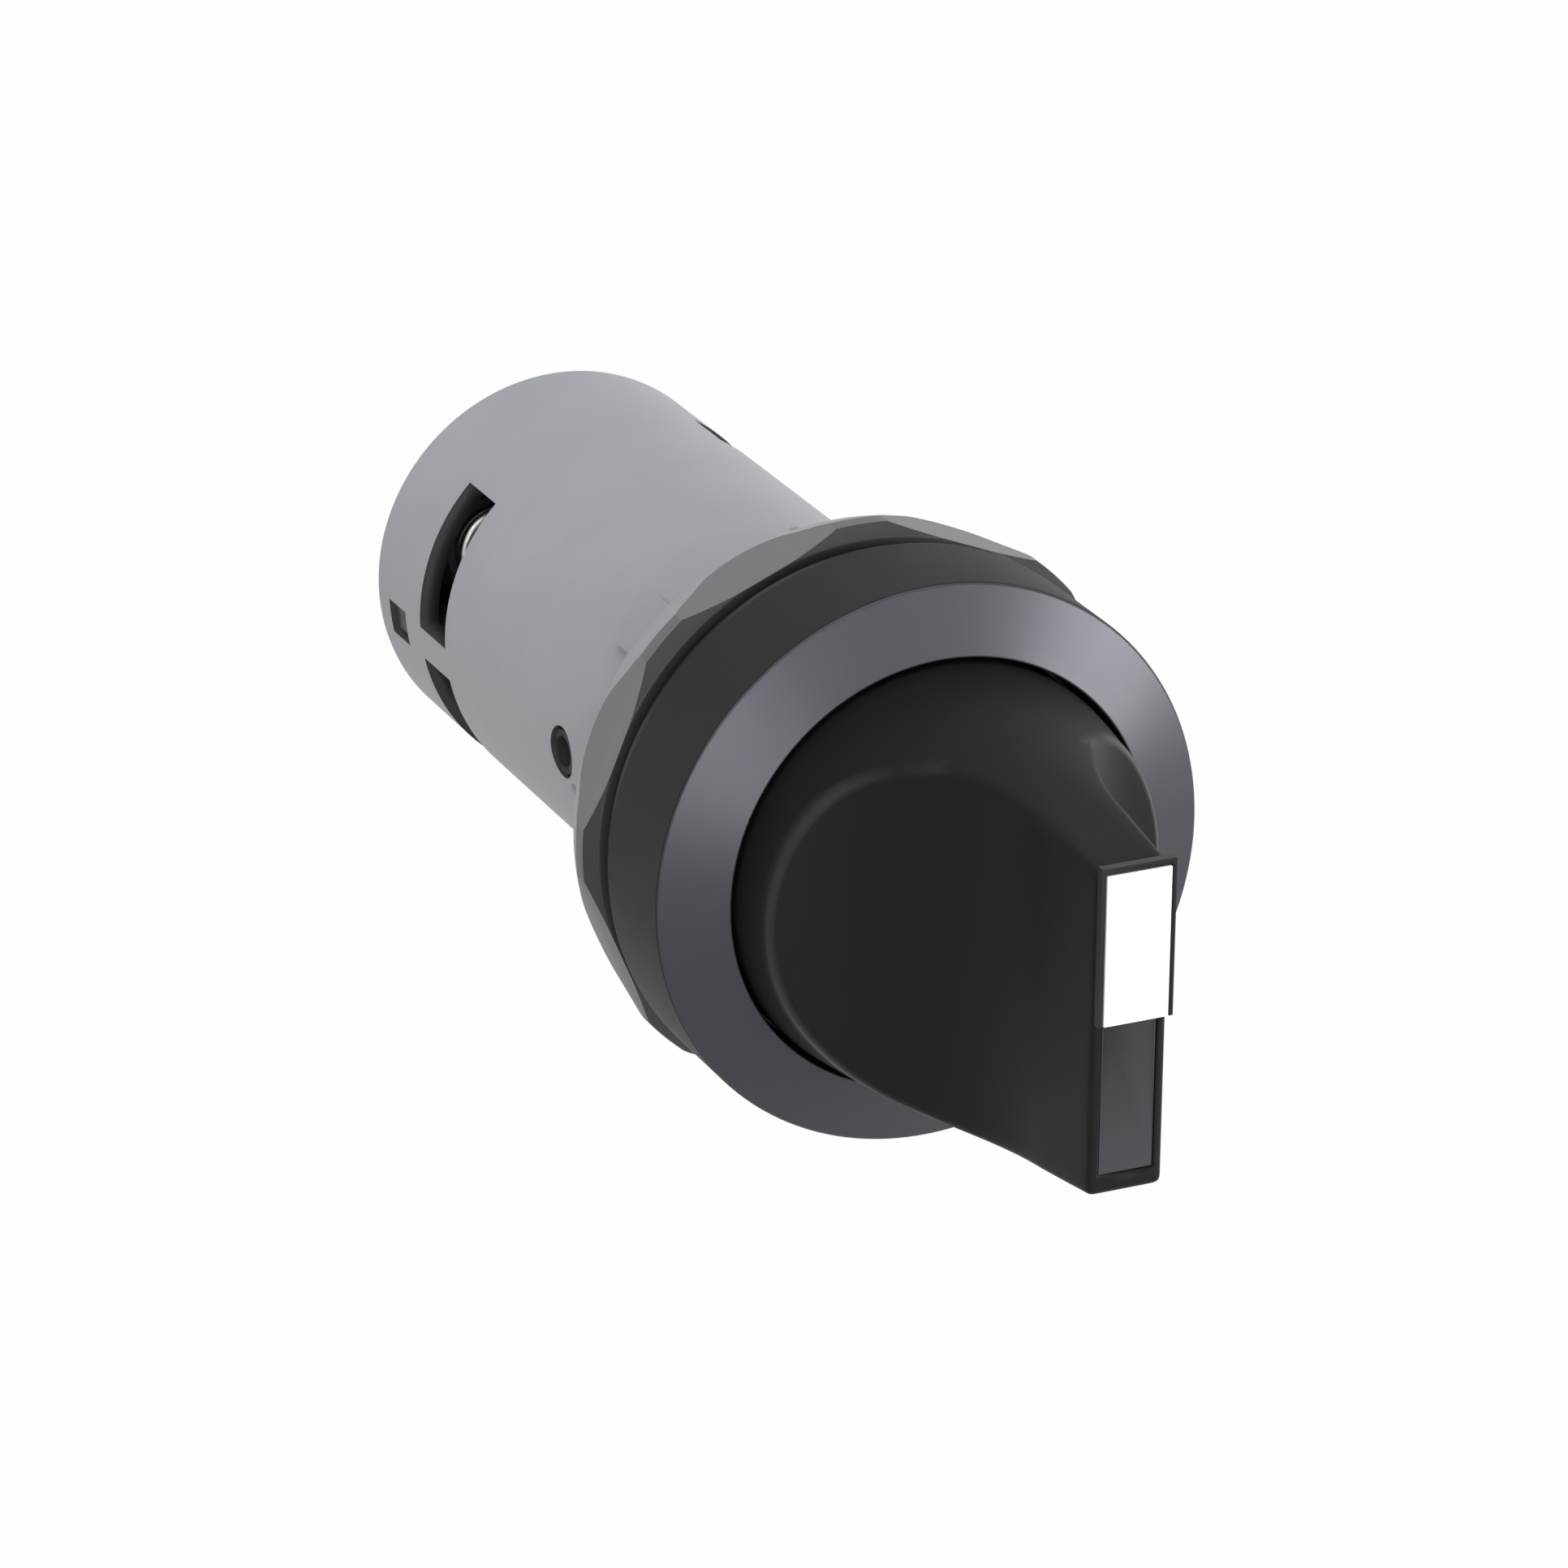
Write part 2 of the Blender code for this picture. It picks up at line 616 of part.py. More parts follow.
def build_nut(works, finish):
    """The fixing nut: a steep cone with eight grip flats, and a short tongue on its rear edge."""
    rim_radius = NUT_BORE + NUT_RIM
    profile = [
        (NUT_BORE, NUT_FRONT),
        (NUT_RADIUS - NUT_CHAMFER, NUT_FRONT),
        (NUT_RADIUS, NUT_FRONT + NUT_CHAMFER),
        (NUT_RADIUS, NUT_FRONT + NUT_CHAMFER + NUT_BAND),
        (NUT_CONE_RADIUS + 0.35 * (NUT_RADIUS - NUT_CONE_RADIUS), NUT_CONE_START - 0.9),
        (NUT_CONE_RADIUS, NUT_CONE_START),
        (rim_radius, NUT_REAR),
        (NUT_BORE, NUT_REAR),
    ]
    nut = made_object("fixing_nut", turned(profile, 72), finish)
    corner = NUT_FLAT_DISTANCE / math.cos(math.pi / NUT_FLATS)
    first = NUT_FLAT_ANGLE + 180.0 / NUT_FLATS
    points = [at_angle(corner, first + 360.0 * flat / NUT_FLATS) for flat in range(NUT_FLATS)]
    grip = prism([(point.x, point.z) for point in points], NUT_FRONT - OVERRUN, NUT_REAR + OVERRUN, axis="Y")
    combine(nut, "nut_flats", grip, "INTERSECT")
    angles = (TONGUE_ANGLE - TONGUE_HALF_ANGLE, TONGUE_ANGLE + TONGUE_HALF_ANGLE)
    tongue_y = (NUT_REAR - 0.8, TONGUE_END)
    add(nut, "nut_tongue", sector(NUT_BORE, NUT_BORE + TONGUE_THICKNESS, tongue_y, angles, 4))


def cam_height(angle):
    """The cam's rear face at an angle from its peak: two ramps of one lead between peak and valley."""
    from_side = 90.0 - abs((angle + 180.0) % 360.0 - 180.0)
    ramp = min(max(from_side, -CAM_RAMP_HALF_ANGLE), CAM_RAMP_HALF_ANGLE)
    return CAM_MIDDLE + LEAD * ramp


def cam_ring():
    """The cam's tube, with its rear edge raised and lowered by cam_height."""
    shape = bmesh.new()
    steps = 60
    rings = []
    base = INDEX_REAR - INDEX_THICKNESS / 2
    for radius, high in (
        (CAM_INNER_RADIUS, False),
        (CAM_OUTER_RADIUS, False),
        (CAM_OUTER_RADIUS, True),
        (CAM_INNER_RADIUS, True),
    ):
        angles = [360.0 * step / steps for step in range(steps)]
        points = [at_angle(radius, angle, cam_height(angle) if high else base) for angle in angles]
        rings.append([shape.verts.new(point) for point in points])
    for ring, following in zip(rings, rings[1:] + rings[:1]):
        for step in range(steps):
            ahead = (step + 1) % steps
            shape.faces.new([ring[step], ring[ahead], following[ahead], following[step]])
    bmesh.ops.triangulate(shape, faces=shape.faces)
    return shape


def build_rotor(turner, finish):
    """Drive square, journal, notched index disc and rising cam, turned by the handle."""
    journal_front = -BEZEL_FLOOR + 0.1
    profile = [
        (0.0, journal_front),
        (JOURNAL_RADIUS, journal_front),
        (JOURNAL_RADIUS, INDEX_FRONT),
        (INDEX_RADIUS, INDEX_FRONT),
        (INDEX_RADIUS, INDEX_REAR),
        (0.0, INDEX_REAR),
    ]
    phase = bpy.data.objects.new("rotor_phase", None)
    phase.rotation_euler = (0.0, math.radians(WORKS_TURN), 0.0)
    phase.parent = turner
    bpy.context.scene.collection.objects.link(phase)
    rotor = made_object("rotor", turned(profile), finish, phase)
    square = block(
        (-DRIVE_HALF, DRIVE_HALF),
        (-(HANDLE_REAR + DRIVE_DEPTH), journal_front + OVERRUN),
        (-DRIVE_HALF, DRIVE_HALF),
    )
    bmesh.ops.rotate(
        square,
        cent=(0.0, 0.0, 0.0),
        matrix=Matrix.Rotation(math.radians(-WORKS_TURN), 3, "Y"),
        verts=square.verts,
    )
    add(rotor, "rotor_drive", square)
    add(rotor, "rotor_cam", cam_ring())
    notches = []
    centre_radius = INDEX_RADIUS + NOTCH_RADIUS - NOTCH_SINK
    depth = (INDEX_FRONT - 0.05, INDEX_REAR + OVERRUN)
    for side in (-90.0, 90.0):
        for place in (-INDEX_STEP, 0.0, INDEX_STEP):
            spot = at_angle(centre_radius, side + place)
            notches.append(rod(NOTCH_RADIUS, *depth, spot.x, spot.z))
    cut(rotor, "rotor_notches", joined(*notches))
    bore_end = -(HANDLE_REAR + DRIVE_DEPTH) - OVERRUN
    cut(rotor, "rotor_bore", rod(SCREW_SHANK_RADIUS + SEAT_GAP, bore_end, INDEX_REAR + 0.5))


def build_handle_screw(turner, finish):
    """The screw through the rotor that draws the handle onto its drive square."""
    end = -(HANDLE_REAR + DRIVE_DEPTH + SEAT_GAP + SCREW_GRIP)
    head_rear = SCREW_HEAD_FRONT + SCREW_HEAD_HEIGHT
    profile = [
        (0.0, end),
        (SCREW_SHANK_RADIUS, end + SCREW_SHANK_RADIUS / 2),
        (SCREW_SHANK_RADIUS, SCREW_HEAD_FRONT),
        (SCREW_HEAD_RADIUS, SCREW_HEAD_FRONT),
        (SCREW_HEAD_RADIUS, head_rear - 0.3),
        (SCREW_HEAD_RADIUS - 0.3, head_rear),
        (0.0, head_rear),
    ]
    screw = made_object("handle_screw", turned(profile, SMALL_STEPS), finish, turner)
    slot = (head_rear - SCREW_HEAD_HEIGHT / 2, head_rear + OVERRUN)
    reach = SCREW_HEAD_RADIUS + OVERRUN
    cut(screw, "handle_screw_slot", block((-0.2, 0.2), slot, (-reach, reach)))


def build_index_spring(works, finish):
    """An open ring of spring strip with two noses that rest in the index disc's notches."""
    nose_radius = INDEX_RADIUS - NOTCH_SINK + NOSE_GAP + STRIP_THICKNESS / 2
    bend = STRIP_RADIUS - nose_radius
    end = 180.0 - STRIP_OPEN_HALF_ANGLE
    steps = 72
    inner, outer = [], []
    for step in range(steps + 1):
        angle = -end + 2 * end * step / steps
        dips = (math.exp(-(((angle - side) / NOSE_SPREAD) ** 2)) for side in (-90.0, 90.0))
        middle = STRIP_RADIUS - bend * sum(dips)
        inner.append(at_angle(middle - STRIP_THICKNESS / 2, angle))
        outer.append(at_angle(middle + STRIP_THICKNESS / 2, angle))
    outline = [(point.x, point.z) for point in outer + inner[::-1]]
    front = INDEX_FRONT + (INDEX_THICKNESS - STRIP_WIDTH) / 2
    made_object("index_spring", prism(outline, front, front + STRIP_WIDTH, "Y"), finish, works)


def terminal_places():
    """Where the four terminals stand across the housing."""
    return [(x, z) for x in (-TERMINAL_X, TERMINAL_X) for z in (TERMINAL_Z, -TERMINAL_Z)]


def build_contact_block(works, finish):
    """The insulating frame: guide wall, middle wall, cross-shaped barriers and two spring bosses."""
    radius = SLEEVE_RADIUS
    reach = math.sqrt(radius**2 - BLOCK_HALF_RIB**2) - 0.02
    front_rear = BLOCK_FRONT + BLOCK_FRONT_WALL
    front_wall = rod(radius, BLOCK_FRONT, front_rear, steps=ROUND_STEPS)
    frame = made_object("contact_block", front_wall, finish, works)
    middle_wall = rod(radius, BLOCK_MIDDLE, BLOCK_MIDDLE_REAR, steps=ROUND_STEPS)
    add(frame, "block_middle_wall", middle_wall)
    half = (-BLOCK_HALF_RIB, BLOCK_HALF_RIB)
    add(frame, "block_long_barrier", block(half, (front_rear - 0.5, BLOCK_REAR), (-reach, reach)))
    short_y = (BLOCK_MIDDLE_REAR - 0.5, BLOCK_REAR)
    add(frame, "block_short_barrier", block((-reach, reach), short_y, half))
    bosses = [rod(BOSS_RADIUS, BLOCK_MIDDLE_REAR - 0.5, BOSS_END, x) for x in (-PLUNGER_X, PLUNGER_X)]
    add(frame, "block_bosses", joined(*bosses))
    catch_y = (WINDOW_FRONT + CATCH_GAP, WINDOW_FRONT + WINDOW_HEIGHT - CATCH_GAP)
    catch_z = HOUSING_BORE * math.sin(math.radians(WINDOW_HALF_ANGLE)) - CATCH_GAP
    catches = []
    for side in (-1, 1):
        span = sorted((side * (reach - OVERRUN), side * (HOUSING_BORE + CATCH_STAND)))
        catches.append(block(span, catch_y, (-catch_z, catch_z)))
    add(frame, "block_catches", joined(*catches))
    cuts = []
    for x in (-PLUNGER_X, PLUNGER_X):
        cuts.append(rod(PLUNGER_RADIUS + RUN_GAP, BLOCK_FRONT - OVERRUN, front_rear + 0.5, x))
        cuts.append(rod(SPRING_BORE, BLOCK_MIDDLE - OVERRUN, BOSS_END - BOSS_FLOOR, x))
    notch_x = FIXED_OUTER_X - FIXED_THICKNESS - SEAT_GAP
    notch_y = (BLOCK_MIDDLE - OVERRUN, BLOCK_MIDDLE_REAR + OVERRUN)
    for x_side in (-1, 1):
        for z in (-TERMINAL_Z, TERMINAL_Z):
            x_span = sorted((x_side * notch_x, x_side * (radius + OVERRUN)))
            half_width = FIXED_HALF_WIDTH + SEAT_GAP
            cuts.append(block(x_span, notch_y, (z - half_width, z + half_width)))
    cut(frame, "block_cuts", joined(*cuts))


def build_plunger(name, x, works, finish):
    """One contact plunger: round tip on the cam, collar, stem for the bridge and pin for its spring."""
    collar_rear = COLLAR_FRONT + COLLAR_THICKNESS
    tip = [
        (TIP_RADIUS * math.sin(math.radians(turn)), TIP_CENTRE - TIP_RADIUS * math.cos(math.radians(turn)))
        for turn in (0, 30, 60, 90)
    ]
    profile = tip + [
        (TIP_RADIUS, TIP_CENTRE + TIP_NECK),
        (PLUNGER_RADIUS, TIP_CENTRE + TIP_SHOULDER),
        (PLUNGER_RADIUS, COLLAR_FRONT),
        (COLLAR_RADIUS, COLLAR_FRONT),
        (COLLAR_RADIUS, collar_rear),
        (STEM_RADIUS, collar_rear),
        (STEM_RADIUS, HEAD_FRONT),
        (HEAD_RADIUS, HEAD_FRONT),
        (HEAD_RADIUS, HEAD_REAR),
        (PIN_RADIUS, HEAD_REAR),
        (PIN_RADIUS, HEAD_REAR + PIN_LENGTH),
        (0.0, HEAD_REAR + PIN_LENGTH),
    ]
    made_object(name, turned(profile, SMALL_STEPS, x), finish, works)


def build_bridge(name, x, works, finish):
    """A moving contact strip with a domed tip at each end and a hole for the plunger's stem."""
    strip = block(
        (x - BRIDGE_HALF_WIDTH, x + BRIDGE_HALF_WIDTH),
        (BRIDGE_FRONT, BRIDGE_REAR),
        (-BRIDGE_HALF_LENGTH, BRIDGE_HALF_LENGTH),
    )
    bridge = made_object(name, strip, finish, works)
    domes = []
    for z in (-DOME_Z, DOME_Z):
        profile = [
            (0.0, BRIDGE_REAR - 0.2),
            (DOME_RADIUS, BRIDGE_REAR - 0.2),
            (DOME_RADIUS, BRIDGE_REAR + DOME_HEIGHT / 3),
            (DOME_RADIUS * 0.6, BRIDGE_REAR + DOME_HEIGHT * 0.85),
            (0.0, BRIDGE_REAR + DOME_HEIGHT),
        ]
        domes.append(turned(profile, 12, x, z))
    add(bridge, name + "_domes", joined(*domes))
    hole = rod(STEM_RADIUS + SEAT_GAP / 2, BRIDGE_FRONT - OVERRUN, BRIDGE_REAR + OVERRUN, x)
    cut(bridge, name + "_hole", hole)


def build_fixed_contact(name, x_side, z, works, finish):
    """A strip bent round the middle wall: contact face in front, screw-threaded foot behind."""
    front = FIXED_REAR - FIXED_THICKNESS
    foot_rear = FOOT_FRONT + FOOT_THICKNESS
    outline = [
        (FIXED_INNER_X, front),
        (FIXED_OUTER_X, front),
        (FIXED_OUTER_X, foot_rear),
        (FOOT_INNER_X, foot_rear),
        (FOOT_INNER_X, FOOT_FRONT),
        (FIXED_OUTER_X - FIXED_THICKNESS, FOOT_FRONT),
        (FIXED_OUTER_X - FIXED_THICKNESS, FIXED_REAR),
        (FIXED_INNER_X, FIXED_REAR),
    ]
    placed = [(x_side * across, along) for across, along in outline]
    strip = prism(placed, z - FIXED_HALF_WIDTH, z + FIXED_HALF_WIDTH)
    contact = made_object(name, strip, finish, works)
    dome_z = math.copysign(DOME_Z, z)
    profile = [
        (0.0, front - FIXED_DOME_HEIGHT),
        (DOME_RADIUS * 0.6, front - FIXED_DOME_HEIGHT * 0.85),
        (DOME_RADIUS, front - FIXED_DOME_HEIGHT / 3),
        (DOME_RADIUS, front + 0.2),
        (0.0, front + 0.2),
    ]
    add(contact, name + "_dome", turned(profile, 12, x_side * PLUNGER_X, dome_z))
    hole_radius = TERMINAL_SHANK_RADIUS + SEAT_GAP / 2
    hole = rod(hole_radius, FOOT_FRONT - 0.2, foot_rear + OVERRUN, x_side * TERMINAL_X, z)
    cut(contact, name + "_hole", hole)


def build_terminal(number, x, z, works, plate_finish, screw_finish):
    """A square clamp plate and the slotted screw that presses it onto the wire."""
    plate = block(
        (x - CLAMP_HALF, x + CLAMP_HALF), (CLAMP_FRONT, CLAMP_REAR), (z - CLAMP_HALF, z + CLAMP_HALF)
    )
    bmesh.ops.bevel(
        plate, geom=plate.edges[:], offset=0.15, segments=1, affect="EDGES", profile=0.5, material=-1
    )
    clamp = made_object(f"clamp_plate_{number}", plate, plate_finish, works)
    hole_radius = TERMINAL_SHANK_RADIUS + SEAT_GAP / 2
    cut(clamp, f"clamp_plate_{number}_hole", rod(hole_radius, CLAMP_FRONT - OVERRUN, CLAMP_REAR + OVERRUN, x, z))
    end = FOOT_FRONT + 0.1
    head_rear = TERMINAL_HEAD_FRONT + TERMINAL_HEAD_HEIGHT
    profile = [
        (0.0, end),
        (TERMINAL_SHANK_RADIUS, end),
        (TERMINAL_SHANK_RADIUS, TERMINAL_HEAD_FRONT),
        (TERMINAL_HEAD_RADIUS, TERMINAL_HEAD_FRONT),
        (TERMINAL_HEAD_RADIUS, head_rear - 0.35),
        (TERMINAL_HEAD_RADIUS - 0.35, head_rear),
        (0.0, head_rear),
    ]
    screw = made_object(
        f"terminal_screw_{number}", turned(profile, SMALL_STEPS, x, z), screw_finish, works
    )
    reach = TERMINAL_HEAD_RADIUS + 0.5
    depth = (head_rear - DRIVER_SLOT_DEPTH, head_rear + OVERRUN)
    width = (x - DRIVER_SLOT_HALF, x + DRIVER_SLOT_HALF)
    cut(screw, f"terminal_screw_{number}_slot", block(width, depth, (z - reach, z + reach)))


def build_springs(side_name, x, works, finish):
    """The spring that loads the contact bridge, and the one that returns the plunger."""
    rest = SEAT_GAP / 2
    collar_rear = COLLAR_FRONT + COLLAR_THICKNESS
    contact = coil(
        CONTACT_COIL_RADIUS, CONTACT_WIRE, CONTACT_TURNS, collar_rear + rest, BRIDGE_FRONT - rest, x
    )
    made_object(f"contact_spring_{side_name}", contact, finish, works)
    returning = coil(
        RETURN_COIL_RADIUS, RETURN_WIRE, RETURN_TURNS, HEAD_REAR + rest, BOSS_END - BOSS_FLOOR - rest, x
    )
    made_object(f"return_spring_{side_name}", returning, finish, works)


def build_switch():
    black = material("satin_black_plastic", (0.03, 0.03, 0.033), 0.35)
    soft_black = material("matt_black_plastic", (0.018, 0.018, 0.019), 0.5)
    grey = material("grey_housing_plastic", (0.30, 0.32, 0.34), 0.45)
    dark_grey = material("dark_grey_plastic", (0.07, 0.07, 0.08), 0.45)
    white = material("white_inlay", (0.85, 0.85, 0.85), 0.4)
    ivory = material("ivory_nylon", (0.72, 0.68, 0.58), 0.45)
    rubber = material("black_rubber", (0.02, 0.02, 0.02), 0.8)
    brass = material("brass", (0.72, 0.55, 0.25), 0.3, 1.0)
    steel = material("plated_steel", (0.6, 0.6, 0.58), 0.3, 1.0)
    spring_steel = material("spring_steel", (0.5, 0.5, 0.5), 0.25, 1.0)

    works = bpy.data.objects.new("works_turn", None)
    works.rotation_euler = (0.0, math.radians(WORKS_TURN), 0.0)
    turner = bpy.data.objects.new("handle_axis", None)
    for empty in (works, turner):
        bpy.context.scene.collection.objects.link(empty)

    build_bezel(works, black)
    build_handle(turner, soft_black)
    build_marker(turner, dark_grey, white)
    build_seals(works, rubber)
    build_housing(works, grey)
    build_nut(None, grey)
    build_rotor(turner, ivory)
    build_handle_screw(turner, steel)
    build_index_spring(works, spring_steel)
    build_contact_block(works, dark_grey)
    for side_name, x in (("left", -PLUNGER_X), ("right", PLUNGER_X)):
        build_plunger(f"plunger_{side_name}", x, works, ivory)
        build_bridge(f"bridge_{side_name}", x, works, brass)
        build_springs(side_name, x, works, spring_steel)
    for number, (x, z) in enumerate(terminal_places(), 1):
        build_fixed_contact(f"fixed_contact_{number}", math.copysign(1, x), z, works, brass)
        build_terminal(number, x, z, works, steel, steel)


def clear_scene():
    for old in list(bpy.data.objects):
        bpy.data.objects.remove(old, do_unlink=True)


clear_scene()
build_switch()
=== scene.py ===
import math

import bmesh
import bpy
from mathutils import Matrix, Vector
from mathutils.geometry import intersect_point_line


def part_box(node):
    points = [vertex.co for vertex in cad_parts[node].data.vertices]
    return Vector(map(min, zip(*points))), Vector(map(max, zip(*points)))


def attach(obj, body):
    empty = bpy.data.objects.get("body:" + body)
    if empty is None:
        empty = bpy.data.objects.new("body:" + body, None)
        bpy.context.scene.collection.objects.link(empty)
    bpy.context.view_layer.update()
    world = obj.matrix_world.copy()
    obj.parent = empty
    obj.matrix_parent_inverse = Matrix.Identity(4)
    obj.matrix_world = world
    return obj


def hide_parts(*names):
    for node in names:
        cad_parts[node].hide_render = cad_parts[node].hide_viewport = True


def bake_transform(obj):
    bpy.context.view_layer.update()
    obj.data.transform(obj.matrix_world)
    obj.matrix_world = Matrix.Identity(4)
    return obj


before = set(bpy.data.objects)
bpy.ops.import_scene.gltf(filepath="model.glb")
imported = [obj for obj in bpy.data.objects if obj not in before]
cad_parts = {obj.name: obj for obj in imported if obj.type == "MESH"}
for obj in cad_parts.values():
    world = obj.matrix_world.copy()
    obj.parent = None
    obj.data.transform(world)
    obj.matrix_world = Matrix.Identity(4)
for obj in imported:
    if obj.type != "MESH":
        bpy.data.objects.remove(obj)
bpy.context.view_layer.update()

# The camera: a long lens in front of the handle, to its left and above it, with the housing
# running away behind. It stands where the photograph's own perspective puts it.
VIEW_AZIMUTH = math.radians(-24.818)
VIEW_ELEVATION = math.radians(22.54)
VIEW_ROLL = math.radians(0.515)
VIEW_PLACE = Vector((-0.1456, -0.3044, 0.1417))
VIEW_LENS = 167.7

view_back = Vector(
    (
        math.sin(VIEW_AZIMUTH) * math.cos(VIEW_ELEVATION),
        -math.cos(VIEW_AZIMUTH) * math.cos(VIEW_ELEVATION),
        math.sin(VIEW_ELEVATION),
    )
)
level_right = Vector((math.cos(VIEW_AZIMUTH), math.sin(VIEW_AZIMUTH), 0.0))
level_up = view_back.cross(level_right)
view_right = math.cos(VIEW_ROLL) * level_right + math.sin(VIEW_ROLL) * level_up
view_up = math.cos(VIEW_ROLL) * level_up - math.sin(VIEW_ROLL) * level_right
lens = bpy.data.cameras.new("product_lens")
lens.sensor_width = 36.0
lens.lens = VIEW_LENS
lens.clip_start = 0.01
lens.clip_end = 10.0
camera = bpy.data.objects.new("product_camera", lens)
camera.matrix_world = Matrix(
    [
        (view_right[row], view_up[row], view_back[row], VIEW_PLACE[row])
        for row in range(3)
    ]
    + [(0.0, 0.0, 0.0, 1.0)]
)
bpy.context.scene.collection.objects.link(camera)
bpy.context.scene.camera = camera
bpy.context.scene.view_settings.view_transform = "Standard"

# The studio: a wide white floor well under the switch, which has to be held up by a panel, and
# a white room. To the camera both are plain white, and the floor keeps a soft shadow.
FLOOR_DROP = 0.075
FLOOR_HALF = 3.0
PAPER_TONE = 0.42
PAPER_SEEN_TONE = 0.95
WHITE_SHARE = 0.95
ROOM_LIGHT = 0.4
ROOM_SEEN_LIGHT = 1.0


def level_by_ray(nodes, links, lighting, seen):
    """One level for the rays that light the switch, and another for those that look at the studio."""
    ray = nodes.new("ShaderNodeLightPath")
    clear = nodes.new("ShaderNodeMath")
    clear.operation = "MAXIMUM"
    looking = nodes.new("ShaderNodeMath")
    looking.operation = "MAXIMUM"
    level = nodes.new("ShaderNodeMapRange")
    level.inputs["To Min"].default_value = lighting
    level.inputs["To Max"].default_value = seen
    links.new(ray.outputs["Is Camera Ray"], clear.inputs[0])
    links.new(ray.outputs["Is Transmission Ray"], clear.inputs[1])
    links.new(clear.outputs[0], looking.inputs[0])
    links.new(ray.outputs["Is Glossy Ray"], looking.inputs[1])
    links.new(looking.outputs[0], level.inputs["Value"])
    return level.outputs["Result"]


floor_shape = bmesh.new()
bmesh.ops.create_grid(floor_shape, x_segments=1, y_segments=1, size=FLOOR_HALF)
bmesh.ops.translate(floor_shape, vec=(0.0, 0.0, -FLOOR_DROP), verts=floor_shape.verts)
floor_mesh = bpy.data.meshes.new("studio_floor")
floor_shape.to_mesh(floor_mesh)
floor_shape.free()
floor = bpy.data.objects.new("studio_floor", floor_mesh)
bpy.context.scene.collection.objects.link(floor)

paper = bpy.data.materials.new("studio_paper")
paper.use_nodes = True
paper_nodes, paper_links = paper.node_tree.nodes, paper.node_tree.links
paper_shader = paper_nodes["Principled BSDF"]
paper_shader.inputs["Roughness"].default_value = 0.9
paper_light = paper_nodes.new("ShaderNodeEmission")
paper_light.inputs["Color"].default_value = (1.0, 1.0, 1.0, 1.0)
paper_tone = level_by_ray(paper_nodes, paper_links, PAPER_TONE, PAPER_SEEN_TONE)
paper_share = level_by_ray(paper_nodes, paper_links, 0.0, WHITE_SHARE)
paper_mix = paper_nodes.new("ShaderNodeMixShader")
paper_links.new(paper_tone, paper_shader.inputs["Base Color"])
paper_links.new(paper_share, paper_mix.inputs["Fac"])
paper_links.new(paper_shader.outputs[0], paper_mix.inputs[1])
paper_links.new(paper_light.outputs[0], paper_mix.inputs[2])
paper_links.new(paper_mix.outputs[0], paper_nodes["Material Output"].inputs["Surface"])
floor_mesh.materials.append(paper)

room = bpy.data.worlds.new("studio_room")
bpy.context.scene.world = room
room.use_nodes = True
room_nodes, room_links = room.node_tree.nodes, room.node_tree.links
room_back = room_nodes["Background"]
room_back.inputs["Color"].default_value = (1.0, 1.0, 1.0, 1.0)
room_strength = level_by_ray(room_nodes, room_links, ROOM_LIGHT, ROOM_SEEN_LIGHT)
room_links.new(room_strength, room_back.inputs["Strength"])


def softbox(name, azimuth, elevation, distance, width, height, watts):
    """A flat lamp that faces the switch from one direction, at azimuth 0 from straight in front."""
    turn, lift = math.radians(azimuth), math.radians(elevation)
    away = Vector(
        (math.sin(turn) * math.cos(lift), -math.cos(turn) * math.cos(lift), math.sin(lift))
    )
    lamp = bpy.data.lights.new(name, "AREA")
    lamp.shape = "RECTANGLE"
    lamp.size = width
    lamp.size_y = height
    lamp.energy = watts
    holder = bpy.data.objects.new(name, lamp)
    holder.rotation_mode = "QUATERNION"
    holder.rotation_quaternion = away.to_track_quat("Z", "Y")
    holder.location = away * distance
    bpy.context.scene.collection.objects.link(holder)


softbox("top_softbox", -10.0, 75.0, 0.6, 0.6, 0.5, 1.3)
softbox("left_softbox", -70.0, 36.0, 0.6, 0.12, 0.12, 0.5)
softbox("low_left_softbox", -95.0, -32.0, 0.6, 0.4, 0.3, 1.2)
softbox("right_softbox", 52.0, -6.0, 0.6, 0.24, 0.44, 4.7)
softbox("front_softbox", 20.0, 12.0, 0.6, 0.36, 0.3, 0.5)
softbox("front_left_softbox", -18.0, -2.0, 0.6, 0.36, 0.4, 3.2)


# The bezel: one black moulding with a plain side wall and a steep conical front, a bearing for
# the handle's shaft inside it, and a cup behind that snaps into the housing with two bosses.
MM = 0.001
TURN_OF_WORKS = math.radians(-7.5)
BEZEL_BLACK = (0.023, 0.023, 0.029)
BEZEL_TINT = (0.9, 0.91, 1.0, 1.0)
BEZEL_SIDE_BLACK = (0.016, 0.016, 0.017)
SIDE_FROM_RADIUS, REAR_FROM_Y = 13.0, -0.7
BEZEL_OUTLINE = [
    # radius, y, rounding
    (14.4, 0.0, 0.15),
    (14.75, -0.9, 0.12),
    (14.75, -6.8, 0.14),
    (11.3, -8.1, 0.12),
    (11.25, -4.0, 0.1),
    (8.55, -4.0, 0.0),
    (8.55, -3.0, 0.0),
    (7.35, -3.0, 0.0),
    (7.35, -4.0, 0.1),
    (6.1, -4.0, 0.1),
    (6.1, 9.0, 0.0),
    (8.4, 9.0, 0.0),
    (8.4, 16.6, 0.15),
    (9.25, 16.6, 0.15),
    (9.25, -1.2, 0.0),
    (10.75, -1.2, 0.0),
    (10.75, -0.6, 0.0),
    (13.1, -0.6, 0.0),
    (13.1, 0.0, 0.12),
]
SNAP_BOSS = (1.2, 8.825, 10.4, 14.9, -85.0)
PEG_HOLLOW = (0.85, 9.3, 11.4)
SPRING_STOP = (7.45, 8.825, 8.5, 11.2, 10.0)


